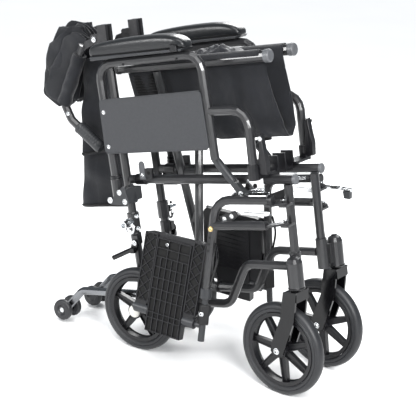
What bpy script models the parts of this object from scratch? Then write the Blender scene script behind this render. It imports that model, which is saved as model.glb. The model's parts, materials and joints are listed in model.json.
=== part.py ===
"""Folding wheelchair on small wheels, standing folded and leaning back on its rear wheels.

Everything is laid out in the chair's own frame, in metres: X forward, Z up along the front posts,
and "out" the distance outboard from the chair's middle plane. Each side piece is written once for
the left side and mirrored for the right. At the end the whole chair is leaned back about Y, so
that all four wheels stand on Z = 0.
"""
import math

import bmesh
import bpy
from mathutils import Matrix, Vector

# How the chair stands
LEAN = math.radians(11.25)
GROUND_DROP = 0.0367
FORWARD_SHIFT = 0.1266

# Sides
LEFT = 1
RIGHT = -1
TAGS = {LEFT: "l", RIGHT: "r"}

# Clearances and facets
GAP = 0.0004
PIN_CLEARANCE = 0.0004
TUBE_SIDES = 10
BEND_STEPS = 4
WHEEL_SEGMENTS = 24

# Side frame
FRAME_OUT = 0.0567
TUBE_RADIUS = 0.0095
RAIL_RADIUS = 0.0100
TOP_RAIL_HEIGHT = 0.4507
TOP_RAIL_FRONT = 0.2526
TOP_RAIL_REAR = -0.1553
LOWER_RAIL_HEIGHT = 0.1800
LOWER_RAIL_REAR = -0.1470
STEP_LOW = (0.0648, 0.1797)
STEP_HIGH = (0.1148, 0.2699)
STEP_BEND = 0.030
REAR_POST_FOOT = (-0.1565, 0.1470)
REAR_POST_HEAD = (-0.1745, 0.7400)
FRONT_POST_X = 0.2352
FRONT_POST_TOP = 0.4402
FRONT_POST_BOTTOM = 0.2360
SLEEVE_RADIUS = 0.0125
SLEEVE_TOP = 0.3000

# Casters
HOUSING_X = 0.2497
HOUSING_OUT = 0.0889
HOUSING_RADIUS = 0.0170
HOUSING_BOTTOM = 0.2318
HOUSING_TOP = 0.2997
CASTER_TRAIL = 0.0520
CASTER_TURN = {RIGHT: 0.120, LEFT: -0.105}
FORK_TOP = 0.2290
FORK_INNER = 0.0170
FORK_PLATE = 0.0050
FRONT_WHEEL_RADIUS = 0.1000

# Rear wheels
REAR_AXLE = (-0.1570, 0.1643)
REAR_WHEEL_OUT = 0.0815
REAR_WHEEL_RADIUS = 0.0939
HUB_END_OUT = 0.1090

# Scissor braces and seat rails
BRACE_X = {RIGHT: -0.0150, LEFT: -0.0590}
BRACE_BARREL_HALF = 0.0250
BRACE_BARREL_RADIUS = 0.0118
SCISSOR_HEIGHT = 0.4536
SEAT_RAIL_OUT = 0.0500
SEAT_RAIL_RADIUS = 0.0125
SEAT_RAIL_FRONT = (0.2189, 0.7006)
SEAT_RAIL_REAR = (-0.1600, 0.6921)
SADDLE_NOTCH_OUT = 0.0322
SADDLE_NOTCH_HEIGHT = 0.4736
SADDLE_NOTCH_RADIUS = 0.0145

# Armrests
ARM_OUT = 0.1070
ARM_PIVOT = (-0.1545, 0.4260)
ARM_REAR_FOOT = (-0.1570, 0.4350)
ARM_REAR_CORNER = (-0.1655, 0.7085)
ARM_FRONT_CORNER = (0.0920, 0.7185)
ARM_FRONT_FOOT = (0.1010, 0.5030)
ARM_BEND = 0.034
STEP_TUBE_HEIGHT = 0.6020
STEP_TUBE_X = 0.1890
STEP_TUBE_FOOT = 0.4912

# Footrest hangers, swung back along the outside of the frame
HANGER_PIVOT_OUT = 0.0820
HANGER_OUT = 0.1050
HANGER_PLUG = (0.2215, 0.4185)
HANGER_ELBOW = (0.0900, 0.4175)
HANGER_END = (0.0540, 0.1330, 0.2120)
HANGER_BEND = 0.038
HANGER_BORE = 0.0078
EXTENSION_RADIUS = 0.0072
SHAFT_RADIUS = 0.0060
PLATE_CENTRE = (-0.0450, 0.1400, 0.1740)
PLATE_PITCH = math.radians(12.0)
PLATE_TILT = math.radians(10.0)

# Backrest canes, folded down behind the chair
CANE_PIVOT = (-0.2026, 0.7584)
CANE_END = (-0.2400, 0.7470)
CANE_LOW = (-0.3135, 0.6230)
CANE_BEND = (-0.2990, 0.5850)
CANE_TIP = (-0.2400, 0.5320)
GRIP_START = (-0.2810, 0.5690)
GRIP_TIP = (-0.2260, 0.5195)
GRIP_RADIUS = 0.0135

# Wheel locks, rear brakes and anti-tippers
LOCK_PIVOT = (0.1440, 0.4280)
LOCK_OUT = 0.0850
REAR_BRAKE_PIVOT = (-0.1540, 0.3120)
ANTITIP_HEIGHT = 0.1890
ANTITIP_AXLE = (-0.3870, 0.1455)
ANTITIP_WHEEL_RADIUS = 0.0245

MATERIALS = {
    "frame_paint": ((0.090, 0.094, 0.098), 0.38, 0.30),
    "brace_paint": ((0.110, 0.112, 0.114), 0.36, 0.30),
    "black_paint": ((0.020, 0.020, 0.022), 0.25, 0.10),
    "chrome": ((0.780, 0.790, 0.800), 0.15, 1.00),
    "grey_tyre": ((0.130, 0.135, 0.140), 0.70, 0.00),
    "grey_plastic": ((0.100, 0.104, 0.110), 0.50, 0.00),
    "black_plastic": ((0.022, 0.023, 0.026), 0.45, 0.00),
    "panel_plastic": ((0.110, 0.115, 0.120), 0.65, 0.00),
    "arm_vinyl": ((0.020, 0.021, 0.024), 0.40, 0.00),
    "nylon_fabric": ((0.050, 0.054, 0.062), 0.75, 0.00),
}


def clear_scene():
    """Remove whatever the empty file holds."""
    for thing in list(bpy.data.objects):
        bpy.data.objects.remove(thing, do_unlink=True)


def material_for(name):
    """A plain material with the colour, roughness and metal share of its name."""
    found = bpy.data.materials.get(name)
    if found:
        return found
    colour, roughness, metallic = MATERIALS[name]
    made = bpy.data.materials.new(name)
    made.use_nodes = True
    shader = made.node_tree.nodes["Principled BSDF"]
    shader.inputs["Base Color"].default_value = (*colour, 1.0)
    shader.inputs["Roughness"].default_value = roughness
    shader.inputs["Metallic"].default_value = metallic
    return made


def at(point, out):
    """The 3-D point of an (x, z) pair at a distance outboard."""
    return Vector((point[0], out, point[1]))


def rounded_path(points, bend):
    """The points with each inner corner turned into an arc of the bend radius."""
    path = [points[0]]
    for before, corner, after in zip(points, points[1:], points[2:]):
        to_before = (before - corner).normalized()
        to_after = (after - corner).normalized()
        half = to_before.angle(to_after) / 2
        reach = bend / math.tan(half)
        centre = corner + (to_before + to_after).normalized() * (bend / math.sin(half))
        start = corner + to_before * reach - centre
        end = corner + to_after * reach - centre
        turn = start.angle(end)
        for step in range(BEND_STEPS + 1):
            part = step / BEND_STEPS
            weight_start = math.sin((1 - part) * turn) / math.sin(turn)
            weight_end = math.sin(part * turn) / math.sin(turn)
            path.append(centre + start * weight_start + end * weight_end)
    path.append(points[-1])
    return path


def closed_rings(rings):
    """A closed solid skinned over rings of points, with flat ends."""
    solid = bmesh.new()
    loops = [[solid.verts.new(point) for point in ring] for ring in rings]
    for lower, upper in zip(loops, loops[1:]):
        for index, corner in enumerate(lower):
            following = (index + 1) % len(lower)
            solid.faces.new((corner, lower[following], upper[following], upper[index]))
    solid.faces.new(reversed(loops[0]))
    solid.faces.new(loops[-1])
    bmesh.ops.recalc_face_normals(solid, faces=solid.faces)
    return solid


def tube(points, radius, bend=0.02, sides=TUBE_SIDES):
    """A round bar along a path with rounded corners."""
    path = rounded_path([Vector(point) for point in points], bend)
    direction = (path[1] - path[0]).normalized()
    across = direction.orthogonal().normalized()
    rings = []
    for index, point in enumerate(path):
        ahead = path[min(index + 1, len(path) - 1)] - path[max(index - 1, 0)]
        ahead.normalize()
        across = (across - ahead * across.dot(ahead)).normalized()
        upward = ahead.cross(across)
        ring = []
        for step in range(sides):
            angle = 2 * math.pi * (step + 0.5) / sides
            ring.append(point + (across * math.cos(angle) + upward * math.sin(angle)) * radius)
        rings.append(ring)
    return closed_rings(rings)


def turned(profile, centre, axis, segments=16):
    """A body of revolution from a closed outline of (radius, distance along the axis)."""
    axis = Vector(axis).normalized()
    across = axis.orthogonal().normalized()
    upward = axis.cross(across)
    solid = bmesh.new()
    loops = []
    for radius, along in profile:
        base = Vector(centre) + axis * along
        if radius == 0:
            loops.append([solid.verts.new(base)])
            continue
        loop = []
        for step in range(segments):
            angle = 2 * math.pi * step / segments
            spoke = across * math.cos(angle) + upward * math.sin(angle)
            loop.append(solid.verts.new(base + spoke * radius))
        loops.append(loop)
    for this, following in zip(loops, loops[1:] + loops[:1]):
        if len(this) == 1 and len(following) == 1:
            continue
        for step in range(segments):
            after = (step + 1) % segments
            ring = [this[step % len(this)], this[after % len(this)]]
            ring += [following[after % len(following)], following[step % len(following)]]
            corners = []
            for corner in ring:
                if corner not in corners:
                    corners.append(corner)
            solid.faces.new(corners)
    bmesh.ops.recalc_face_normals(solid, faces=solid.faces)
    return solid


def rod(start, end, radius, sides=12):
    """A straight round bar between two points."""
    start = Vector(start)
    span = Vector(end) - start
    profile = [(0, 0), (radius, 0), (radius, span.length), (0, span.length)]
    return turned(profile, start, span, sides)


def cross_rod(point, out_low, out_high, radius, sides=12):
    """A round bar across the chair through an (x, z) point."""
    return rod(at(point, out_low), at(point, out_high), radius, sides)


def extruded(corners, shift):
    """A prism from a flat outline and a shift vector."""
    corners = [Vector(corner) for corner in corners]
    shift = Vector(shift)
    return closed_rings([corners, [corner + shift for corner in corners]])


def side_plate(outline, out_low, out_high):
    """A plate parallel with the side frame, from an outline of (x, z) points."""
    return extruded([at(point, out_low) for point in outline], (0, out_high - out_low, 0))


def flat_plate(outline, low, high):
    """A level plate from an outline of (x, out) points."""
    return extruded([(x, out, low) for x, out in outline], (0, 0, high - low))


def block(low, high):
    """A box between two corners."""
    outline = [(low[0], low[1]), (high[0], low[1]), (high[0], high[1]), (low[0], high[1])]
    return flat_plate(outline, low[2], high[2])


def rounded_outline(points, radius, steps=3):
    """A flat outline with its corners rounded."""
    count = len(points)
    smooth = []
    for index, point in enumerate(points):
        corner = Vector(point)
        to_before = (Vector(points[index - 1]) - corner).normalized()
        to_after = (Vector(points[(index + 1) % count]) - corner).normalized()
        half = to_before.angle(to_after) / 2
        reach = radius / math.tan(half)
        centre = corner + (to_before + to_after).normalized() * (radius / math.sin(half))
        start = corner + to_before * reach - centre
        end = corner + to_after * reach - centre
        for step in range(steps + 1):
            mixed = start.lerp(end, step / steps).normalized() * radius
            smooth.append(tuple(centre + mixed))
    return smooth


def as_object(solid, name):
    """Turn a solid into an object in the scene."""
    mesh = bpy.data.meshes.new(name)
    solid.to_mesh(mesh)
    solid.free()
    made = bpy.data.objects.new(name, mesh)
    bpy.context.scene.collection.objects.link(made)
    return made


def combined(base, adds, cuts):
    """The base solid with others joined on and cut away, as one mesh."""
    target = as_object(base, "work")
    helpers = []
    for operation, solids in (("UNION", adds), ("DIFFERENCE", cuts)):
        for solid in solids:
            helper = as_object(solid, "helper")
            helpers.append(helper)
            modifier = target.modifiers.new("join", "BOOLEAN")
            modifier.operation = operation
            modifier.solver = "EXACT"
            modifier.object = helper
    bpy.context.view_layer.update()
    seen = target.evaluated_get(bpy.context.evaluated_depsgraph_get())
    result = bmesh.new()
    result.from_mesh(seen.to_mesh())
    seen.to_mesh_clear()
    for spent in helpers + [target]:
        bpy.data.objects.remove(spent, do_unlink=True)
    bmesh.ops.remove_doubles(result, verts=result.verts, dist=0.000002)
    return result


def make(name, material, side, pivot, base, adds=(), cuts=()):
    """Build one named piece, with its origin on its pivot, and lean it with the chair."""
    result = combined(base, adds, cuts) if adds or cuts else base
    pivot = Vector(pivot)
    bmesh.ops.translate(result, vec=-pivot, verts=result.verts)
    if side == RIGHT:
        bmesh.ops.scale(result, vec=(1, -1, 1), verts=result.verts)
        bmesh.ops.reverse_faces(result, faces=result.faces)
        pivot.y = -pivot.y
    made = as_object(result, name)
    made.data.materials.append(material_for(material))
    made.data.polygons.foreach_set("use_smooth", [True] * len(made.data.polygons))
    made.data.set_sharp_from_angle(angle=math.radians(38))
    lean = Matrix.Rotation(-LEAN, 4, "Y")
    drop = Matrix.Translation((FORWARD_SHIFT, 0, -GROUND_DROP))
    made.matrix_world = drop @ lean @ Matrix.Translation(pivot)
    return made


def side_name(stem, side):
    """The name of a piece on one side."""
    return f"{stem}_{TAGS[side]}"


def rear_post_x(height):
    """Where the raked rear post is at a height."""
    rise = (height - REAR_POST_FOOT[1]) / (REAR_POST_HEAD[1] - REAR_POST_FOOT[1])
    return REAR_POST_FOOT[0] + rise * (REAR_POST_HEAD[0] - REAR_POST_FOOT[0])


def build_side_frame(side):
    """The welded side frame, one piece per tube run."""
    name = side_name("top_rail", side)
    ends = [(TOP_RAIL_REAR, FRAME_OUT, TOP_RAIL_HEIGHT), (TOP_RAIL_FRONT, FRAME_OUT, TOP_RAIL_HEIGHT)]
    make(name, "frame_paint", side, ends[0], tube(ends, RAIL_RADIUS))

    name = side_name("lower_rail", side)
    run = [(LOWER_RAIL_REAR, LOWER_RAIL_HEIGHT), STEP_LOW, STEP_HIGH]
    run.append((FRONT_POST_X - SLEEVE_RADIUS - GAP, STEP_HIGH[1]))
    points = [at(point, FRAME_OUT) for point in run]
    make(name, "frame_paint", side, points[0], tube(points, TUBE_RADIUS, STEP_BEND))

    build_rear_post(side)
    build_front_post(side)


def build_rear_post(side):
    """The rear post with its axle clamp, brake collar, stub axle and the head of the fold hinge."""
    foot = at(REAR_POST_FOOT, FRAME_OUT)
    head = at(REAR_POST_HEAD, FRAME_OUT)
    clamp = rod(at((rear_post_x(0.338), 0.338), FRAME_OUT), at((rear_post_x(0.376), 0.376), FRAME_OUT), 0.0135)
    collar = rod(at((rear_post_x(0.306), 0.306), FRAME_OUT), at((rear_post_x(0.330), 0.330), FRAME_OUT), 0.0122)
    collar_ear = block((-0.1620, 0.0600, 0.3080), (-0.1480, 0.0725, 0.3270))
    stub_axle = cross_rod(REAR_AXLE, FRAME_OUT, 0.1000, 0.0040, 12)
    head_block = block((-0.1880, 0.0450, 0.7360), (-0.1650, 0.0685, 0.7880))
    ear_outline = rounded_outline([(-0.2130, 0.7490), (-0.1700, 0.7480), (-0.1700, 0.7700), (-0.2130, 0.7690)], 0.006)
    outer_ear = side_plate(ear_outline, FRAME_OUT + 0.0040, FRAME_OUT + 0.0070)
    inner_ear = side_plate(ear_outline, FRAME_OUT - 0.0070, FRAME_OUT - 0.0040)
    hinge_bolt = cross_rod(CANE_PIVOT, FRAME_OUT - 0.0085, FRAME_OUT + 0.0085, 0.0030, 12)
    slot = block((-0.1900, FRAME_OUT - 0.0038, 0.7450), (-0.1630, FRAME_OUT + 0.0038, 0.7900))
    make(side_name("rear_post", side), "frame_paint", side, foot, tube([foot, head], TUBE_RADIUS),
         [clamp, collar, collar_ear, stub_axle, head_block, outer_ear, inner_ear, hinge_bolt], [slot])


def build_front_post(side):
    """The front post with its sleeve, the caster housing and the two hinge lugs of the hanger."""
    top = (FRONT_POST_X, FRAME_OUT, FRONT_POST_TOP)
    bottom = (FRONT_POST_X, FRAME_OUT, FRONT_POST_BOTTOM)
    sleeve = rod((FRONT_POST_X, FRAME_OUT, FRONT_POST_BOTTOM - 0.0010), (FRONT_POST_X, FRAME_OUT, SLEEVE_TOP),
                 SLEEVE_RADIUS)
    tall = HOUSING_TOP - HOUSING_BOTTOM
    profile = [(0, 0), (HOUSING_RADIUS, 0), (HOUSING_RADIUS, tall - 0.0130), (0.0135, tall - 0.0045),
               (0.0065, tall - 0.0006), (0, tall)]
    housing = turned(profile, (HOUSING_X, HOUSING_OUT, HOUSING_BOTTOM), (0, 0, 1))
    web = block((0.2330, 0.0620, 0.2440), (0.2520, 0.0800, 0.2860))
    adds = [sleeve, housing, web]
    for low, high in ((0.4000, 0.4045), (0.3585, 0.3630)):
        outline = rounded_outline([(0.2260, 0.0580), (0.2445, 0.0580), (0.2445, 0.0910), (0.2260, 0.0910)], 0.004)
        adds.append(flat_plate(outline, low, high))
        pin_foot = (FRONT_POST_X, HANGER_PIVOT_OUT, low + 0.0020)
        pin_head = (FRONT_POST_X, HANGER_PIVOT_OUT, high + 0.0085)
        adds.append(rod(pin_foot, pin_head, 0.0038, 12))
    make(side_name("front_post", side), "frame_paint", side, bottom, tube([bottom, top], TUBE_RADIUS), adds)


def build_frame_fittings(side):
    """The fittings bolted on the side frame."""
    receiver_x = rear_post_x(0.356)
    start = (receiver_x, FRAME_OUT + 0.0135 + GAP, 0.3560)
    profile = [(0, 0), (0.0110, 0), (0.0110, 0.0060), (0.0085, 0.0075), (0.0085, 0.0270), (0.0062, 0.0270),
               (0.0062, 0.0100), (0, 0.0100)]
    make(side_name("axle_receiver", side), "chrome", side, start, turned(profile, start, (0, 1, 0)))

    saddle = block((0.1640, 0.0130, 0.4520), (0.1930, 0.0455, 0.4915))
    outer_wall = block((0.1645, 0.0430, 0.4612), (0.1925, 0.0510, 0.4910))
    bridge = block((0.1700, 0.0436, 0.4612), (0.2020, 0.1080, 0.4670))
    socket = rod((STEP_TUBE_X, ARM_OUT, 0.4600), (STEP_TUBE_X, ARM_OUT, 0.4908), 0.0125)
    lever_block = block((0.1960, 0.0880, 0.4640), (0.2008, 0.1030, 0.4760))
    notch = rod((0.1600, SADDLE_NOTCH_OUT, SADDLE_NOTCH_HEIGHT), (0.1970, SADDLE_NOTCH_OUT, SADDLE_NOTCH_HEIGHT),
                SADDLE_NOTCH_RADIUS, 16)
    mouth = block((0.1600, SADDLE_NOTCH_OUT - SADDLE_NOTCH_RADIUS, SADDLE_NOTCH_HEIGHT),
                  (0.1970, SADDLE_NOTCH_OUT + SADDLE_NOTCH_RADIUS, 0.4950))
    make(side_name("saddle_bracket", side), "black_plastic", side, (0.1785, FRAME_OUT, 0.4612), saddle,
         [outer_wall, bridge, socket, lever_block], [notch, mouth])

    bracket = side_plate([(0.1360, 0.4250), (0.1860, 0.4250), (0.1860, 0.4600), (0.1500, 0.4600)], 0.0672, 0.0702)
    foot = side_plate([(0.1050, 0.4130), (0.1860, 0.4130), (0.1860, 0.4320), (0.1150, 0.4320)], 0.0700, 0.0755)
    lock_bolt = cross_rod(LOCK_PIVOT, 0.0720, 0.0930, 0.0032, 12)
    make(side_name("wheel_lock_base", side), "chrome", side, at(LOCK_PIVOT, LOCK_OUT), bracket, [foot, lock_bolt])

    outline = rounded_outline([(-0.1780, 0.4090), (-0.1270, 0.4530), (-0.1190, 0.4060)], 0.005)
    outer = side_plate(outline, 0.1206, 0.1228)
    inner = side_plate(outline, 0.0895, 0.0920)
    web = block((-0.1330, 0.0905, 0.4100), (-0.1235, 0.1215, 0.4420))
    stand_off = block((-0.1600, 0.0670, 0.4110), (-0.1240, 0.0905, 0.4390))
    pivot_bolt = cross_rod(ARM_PIVOT, 0.0905, 0.1215, 0.0040, 12)
    make(side_name("arm_bracket", side), "grey_plastic", side, at(ARM_PIVOT, ARM_OUT), outer,
         [inner, web, stand_off, pivot_bolt])


def wheel_tyre(centre, axis, radius, half_width, bed):
    """A solid tyre with a rounded tread, from its bed radius outwards."""
    shoulder = radius - 0.45 * half_width
    profile = [
        (bed, -0.80 * half_width),
        (bed + 0.004, -half_width),
        (shoulder, -half_width),
        (radius - 0.0015, -0.50 * half_width),
        (radius, 0),
        (radius - 0.0015, 0.50 * half_width),
        (shoulder, half_width),
        (bed + 0.004, half_width),
        (bed, 0.80 * half_width),
    ]
    return turned(profile, centre, axis, WHEEL_SEGMENTS)


def wheel_spokes(centre, axis, upright, count, inner, outer, wide, narrow, thick):
    """Flat tapered spokes between the hub and the rim."""
    spokes = []
    forward = upright.cross(axis)
    for index in range(count):
        angle = 2 * math.pi * (index + 0.5) / count
        along = upright * math.cos(angle) + forward * math.sin(angle)
        across = along.cross(axis)
        corners = [
            centre + along * inner - across * wide / 2,
            centre + along * inner + across * wide / 2,
            centre + along * outer + across * narrow / 2,
            centre + along * outer - across * narrow / 2,
        ]
        spokes.append(extruded([corner - axis * thick / 2 for corner in corners], axis * thick))
    return spokes


def wheel_rim(centre, axis, bed, hub, bore_depth, spoke_count):
    """A rim band, its spokes and a hub bored from one end for the axle."""
    centre = Vector(centre)
    axis = Vector(axis).normalized()
    band = [(bed - 0.0085, -0.0085), (bed - GAP, -0.0095), (bed - GAP, 0.0095), (bed - 0.0085, 0.0085)]
    ring = turned(band, centre, axis, WHEEL_SEGMENTS)
    hub_low, hub_high, hub_radius = hub
    barrel = turned([(0, hub_low), (hub_radius, hub_low), (hub_radius, hub_high - 0.003),
                     (hub_radius - 0.003, hub_high), (0, hub_high)], centre, axis)
    spokes = wheel_spokes(centre, axis, Vector((0, 0, 1)), spoke_count, 0.006, bed - 0.0060, 0.0150, 0.0105, 0.0110)
    bore = rod(centre + axis * (hub_low - 0.005), centre + axis * bore_depth, 0.0040 + PIN_CLEARANCE, 12)
    return barrel, [ring] + spokes, [bore]


def build_caster(side):
    """A caster fork with its axle, its wheel and its tyre, turned about the housing's axis."""
    turn = Matrix.Rotation(CASTER_TURN[side], 3, "Z")
    stem = Vector((HOUSING_X, HOUSING_OUT, 0))
    axle = stem + turn @ Vector((-CASTER_TRAIL, 0, 0))
    axle.z = FRONT_WHEEL_RADIUS
    axis = turn @ Vector((0, 1, 0))

    outline = [(0.0130, FORK_TOP), (-0.0200, FORK_TOP), (-0.0340, 0.1720), (-0.0640, 0.1150), (-0.0675, 0.1000),
               (-0.0610, 0.0890), (-0.0480, 0.0865), (-0.0370, 0.0930), (-0.0300, 0.1080), (-0.0010, 0.1660)]
    legs = []
    for edge in (FORK_INNER, -FORK_INNER - FORK_PLATE):
        corners = [stem + turn @ Vector((x, edge, 0)) + Vector((0, 0, z)) for x, z in outline]
        legs.append(extruded(corners, axis * FORK_PLATE))
    corners = [(0.0125, -0.0205), (-0.0195, -0.0205), (-0.0195, 0.0205), (0.0125, 0.0205)]
    crown = extruded([stem + turn @ Vector((x, y, 0)) + Vector((0, 0, 0.2080)) for x, y in corners], (0, 0, 0.0205))
    stem_collar = rod(stem + Vector((0, 0, 0.2270)), stem + Vector((0, 0, HOUSING_BOTTOM - GAP)), 0.0125)
    reach = FORK_INNER + FORK_PLATE + 0.0030
    bolt = rod(axle - axis * reach, axle + axis * reach, 0.0040, 12)
    make(side_name("caster_fork", side), "black_paint", side, (HOUSING_X, HOUSING_OUT, HOUSING_BOTTOM), crown,
         legs + [stem_collar, bolt])

    tyre = wheel_tyre(axle, axis, FRONT_WHEEL_RADIUS, 0.0125, 0.0800)
    make(side_name("front_tyre", side), "grey_tyre", side, axle, tyre)
    barrel, adds, cuts = wheel_rim(axle, axis, 0.0800, (-0.0160, 0.0160, 0.0160), 0.0300, 7)
    make(side_name("front_rim", side), "black_plastic", side, axle, barrel, adds, cuts)


def build_rear_wheel(side):
    """A small rear wheel on the stub axle of the rear post."""
    axle = at(REAR_AXLE, REAR_WHEEL_OUT)
    axis = Vector((0, 1, 0))
    tyre = wheel_tyre(axle, axis, REAR_WHEEL_RADIUS, 0.0125, 0.0745)
    make(side_name("rear_tyre", side), "grey_tyre", side, axle, tyre)
    hub = (FRAME_OUT + TUBE_RADIUS + 0.0010 - REAR_WHEEL_OUT, HUB_END_OUT - REAR_WHEEL_OUT, 0.0130)
    barrel, adds, cuts = wheel_rim(axle, axis, 0.0745, hub, 0.0200, 5)
    make(side_name("rear_rim", side), "black_plastic", side, axle, barrel, adds, cuts)


def build_brace(side):
    """One brace of the scissor, hung on this side's lower rail, with the rail at its far end."""
    x = BRACE_X[side]
    foot = Vector((x, FRAME_OUT, LOWER_RAIL_HEIGHT))
    share = (x - SEAT_RAIL_REAR[0]) / (SEAT_RAIL_FRONT[0] - SEAT_RAIL_REAR[0])
    rail_height = SEAT_RAIL_REAR[1] + share * (SEAT_RAIL_FRONT[1] - SEAT_RAIL_REAR[1])
    head = Vector((x, -SEAT_RAIL_OUT, rail_height))
    along = (head - foot).normalized()
    middle = Vector((x, 0, SCISSOR_HEIGHT))
    leg = tube([foot + along * 0.0060, head - along * (SEAT_RAIL_RADIUS + GAP)], TUBE_RADIUS)
    barrel = rod(foot - Vector((BRACE_BARREL_HALF, 0, 0)), foot + Vector((BRACE_BARREL_HALF, 0, 0)),
                 BRACE_BARREL_RADIUS)
    reach = BRACE_BARREL_HALF + 0.0020
    bore = rod(foot - Vector((reach, 0, 0)), foot + Vector((reach, 0, 0)), TUBE_RADIUS + 0.0007, 16)
    adds = [barrel]
    cuts = [bore]
    if side == RIGHT:
        far_x = BRACE_X[LEFT]
        spacer_start = (x - 0.0013, middle.y, middle.z)
        adds.append(rod(spacer_start, (far_x + TUBE_RADIUS + GAP, middle.y, middle.z), 0.0078, 14))
        pin_start = (far_x + TUBE_RADIUS + 0.0030, middle.y, middle.z)
        adds.append(rod(pin_start, (far_x - TUBE_RADIUS - 0.0030, middle.y, middle.z), 0.0040))
        head_start = (far_x - TUBE_RADIUS - GAP, middle.y, middle.z)
        head_end = (far_x - TUBE_RADIUS - 0.0045, middle.y, middle.z)
        adds.append(rod(head_start, head_end, 0.0080))
    else:
        cuts.append(rod(middle - Vector((0.0150, 0, 0)), middle + Vector((0.0150, 0, 0)), 0.0046, 12))
    make(side_name("brace", side), "brace_paint", side, foot, leg, adds, cuts)


def build_seat_rail(side):
    """A seat rail with its end caps."""
    ends = [at(SEAT_RAIL_REAR, SEAT_RAIL_OUT), at(SEAT_RAIL_FRONT, SEAT_RAIL_OUT)]
    make(side_name("seat_rail", side), "frame_paint", side, ends[0], tube(ends, SEAT_RAIL_RADIUS, sides=12))


def build_seat_fabric(side):
    """One half of the folded seat sling, hanging from its own rail."""
    section = [(0.0372, 0.6940), (0.0335, 0.6945), (0.0025, 0.5620), (0.0025, 0.5480), (0.0075, 0.5500)]
    corners = [(-0.1400, out, height) for out, height in section]
    make(side_name("seat_fabric", side), "nylon_fabric", side, corners[0], extruded(corners, (0.2950, 0, 0.0060)))


def build_armrest(side):
    """The armrest: bent tube, pad, clothes guard and front latch."""
    run = [ARM_REAR_FOOT, ARM_REAR_CORNER, ARM_FRONT_CORNER, ARM_FRONT_FOOT]
    loop = tube([at(point, ARM_OUT) for point in run], TUBE_RADIUS, ARM_BEND)
    share = (ARM_FRONT_CORNER[1] - STEP_TUBE_HEIGHT) / (ARM_FRONT_CORNER[1] - ARM_FRONT_FOOT[1])
    leg_x = ARM_FRONT_CORNER[0] + share * (ARM_FRONT_FOOT[0] - ARM_FRONT_CORNER[0])
    step = [(leg_x, STEP_TUBE_HEIGHT), (STEP_TUBE_X, STEP_TUBE_HEIGHT), (STEP_TUBE_X, STEP_TUBE_FOOT)]
    step_tube = tube([at(point, ARM_OUT) for point in step], TUBE_RADIUS, 0.036)
    sleeve = rod(at((-0.1570, 0.4140), ARM_OUT), at((-0.1578, 0.4620), ARM_OUT), 0.0120)
    bore = cross_rod(ARM_PIVOT, 0.0900, 0.1240, 0.0040 + PIN_CLEARANCE, 12)
    make(side_name("arm_frame", side), "frame_paint", side, at(ARM_PIVOT, ARM_OUT), loop, [step_tube, sleeve], [bore])

    half = 0.0235
    stations = [(-0.1740, 0.7190, 0.7400, 0.70), (-0.1640, 0.7194, 0.7530, 0.92), (-0.0900, 0.7222, 0.7610, 1.00),
                (0.0000, 0.7256, 0.7640, 1.00), (0.0480, 0.7275, 0.7590, 0.96), (0.0680, 0.7282, 0.7440, 0.70)]
    rings = []
    for x, low, high, share in stations:
        edge = half * share
        lip = low + 0.010
        ring = [(-edge, low), (edge, low), (edge, lip), (0.80 * edge, high - 0.004), (0.35 * edge, high),
                (-0.35 * edge, high), (-0.80 * edge, high - 0.004), (-edge, lip)]
        rings.append([Vector((x, ARM_OUT + across, height)) for across, height in ring])
    make(side_name("arm_pad", side), "arm_vinyl", side, at(ARM_PIVOT, ARM_OUT), closed_rings(rings))

    outline = rounded_outline([(-0.1680, 0.5185), (0.0975, 0.5240), (0.0915, 0.6465), (-0.1680, 0.6350)], 0.010)
    make(side_name("side_panel", side), "panel_plastic", side, at(ARM_PIVOT, ARM_OUT),
         side_plate(outline, 0.1169, 0.1194))

    outline = rounded_outline([(0.2035, 0.4700), (0.2095, 0.4700), (0.2120, 0.5080), (0.2110, 0.5490), (0.2050, 0.5497),
                               (0.2048, 0.5080)], 0.0015, 2)
    make(side_name("arm_latch", side), "black_plastic", side, (0.2060, 0.0954, 0.4740),
         side_plate(outline, 0.0884, 0.1024))


def build_hanger(side):
    """The footrest hanger, its sliding extension with the plate's shaft, and the footplate."""
    plug = at(HANGER_PLUG, HANGER_OUT)
    elbow = at(HANGER_ELBOW, HANGER_OUT)
    end = Vector(HANGER_END)
    down = (end - elbow).normalized()
    main = tube([plug, elbow, end], TUBE_RADIUS, HANGER_BEND)
    lower_height = 0.3660
    drop = (elbow.z - lower_height) / (elbow.z - end.z)
    lower_start = elbow.lerp(end, drop)
    lower_tube = tube([lower_start, (0.2050, HANGER_OUT, lower_height)], TUBE_RADIUS)
    adds = [lower_tube]
    for low, rear in ((0.4050, 0.2080), (0.3635, 0.1900)):
        outline = [(rear, 0.0985), (rear, 0.1100), (0.2200, 0.1100), (0.2440, 0.0850), (0.2400, 0.0750),
                   (0.2310, 0.0740), (0.2262, 0.0800)]
        adds.append(flat_plate(outline, low, low + 0.0045))
    pin_bore = rod((FRONT_POST_X, HANGER_PIVOT_OUT, 0.3500), (FRONT_POST_X, HANGER_PIVOT_OUT, 0.4300),
                   0.0038 + PIN_CLEARANCE, 12)
    slide_bore = rod(end + down * 0.0050, end - down * 0.1000, HANGER_BORE, 12)
    make(side_name("hanger", side), "frame_paint", side, (FRONT_POST_X, HANGER_PIVOT_OUT, 0.3850), main, adds,
         [pin_bore, slide_bore])

    centre = Vector(PLATE_CENTRE)
    along = Vector((math.cos(PLATE_PITCH), 0, -math.sin(PLATE_PITCH)))
    shaft_height = centre.z - 0.0850 * math.sin(PLATE_PITCH)
    reach = (end.z - shaft_height) / -down.z
    slider = rod(end - down * 0.0850, end + down * (reach + 0.0330), EXTENSION_RADIUS, 12)
    shaft = rod(centre - along * 0.0860, centre + along * 0.0900, SHAFT_RADIUS, 12)
    make(side_name("extension", side), "grey_plastic", side, end, slider, [shaft])

    build_footplate(side, centre, along)


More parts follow.
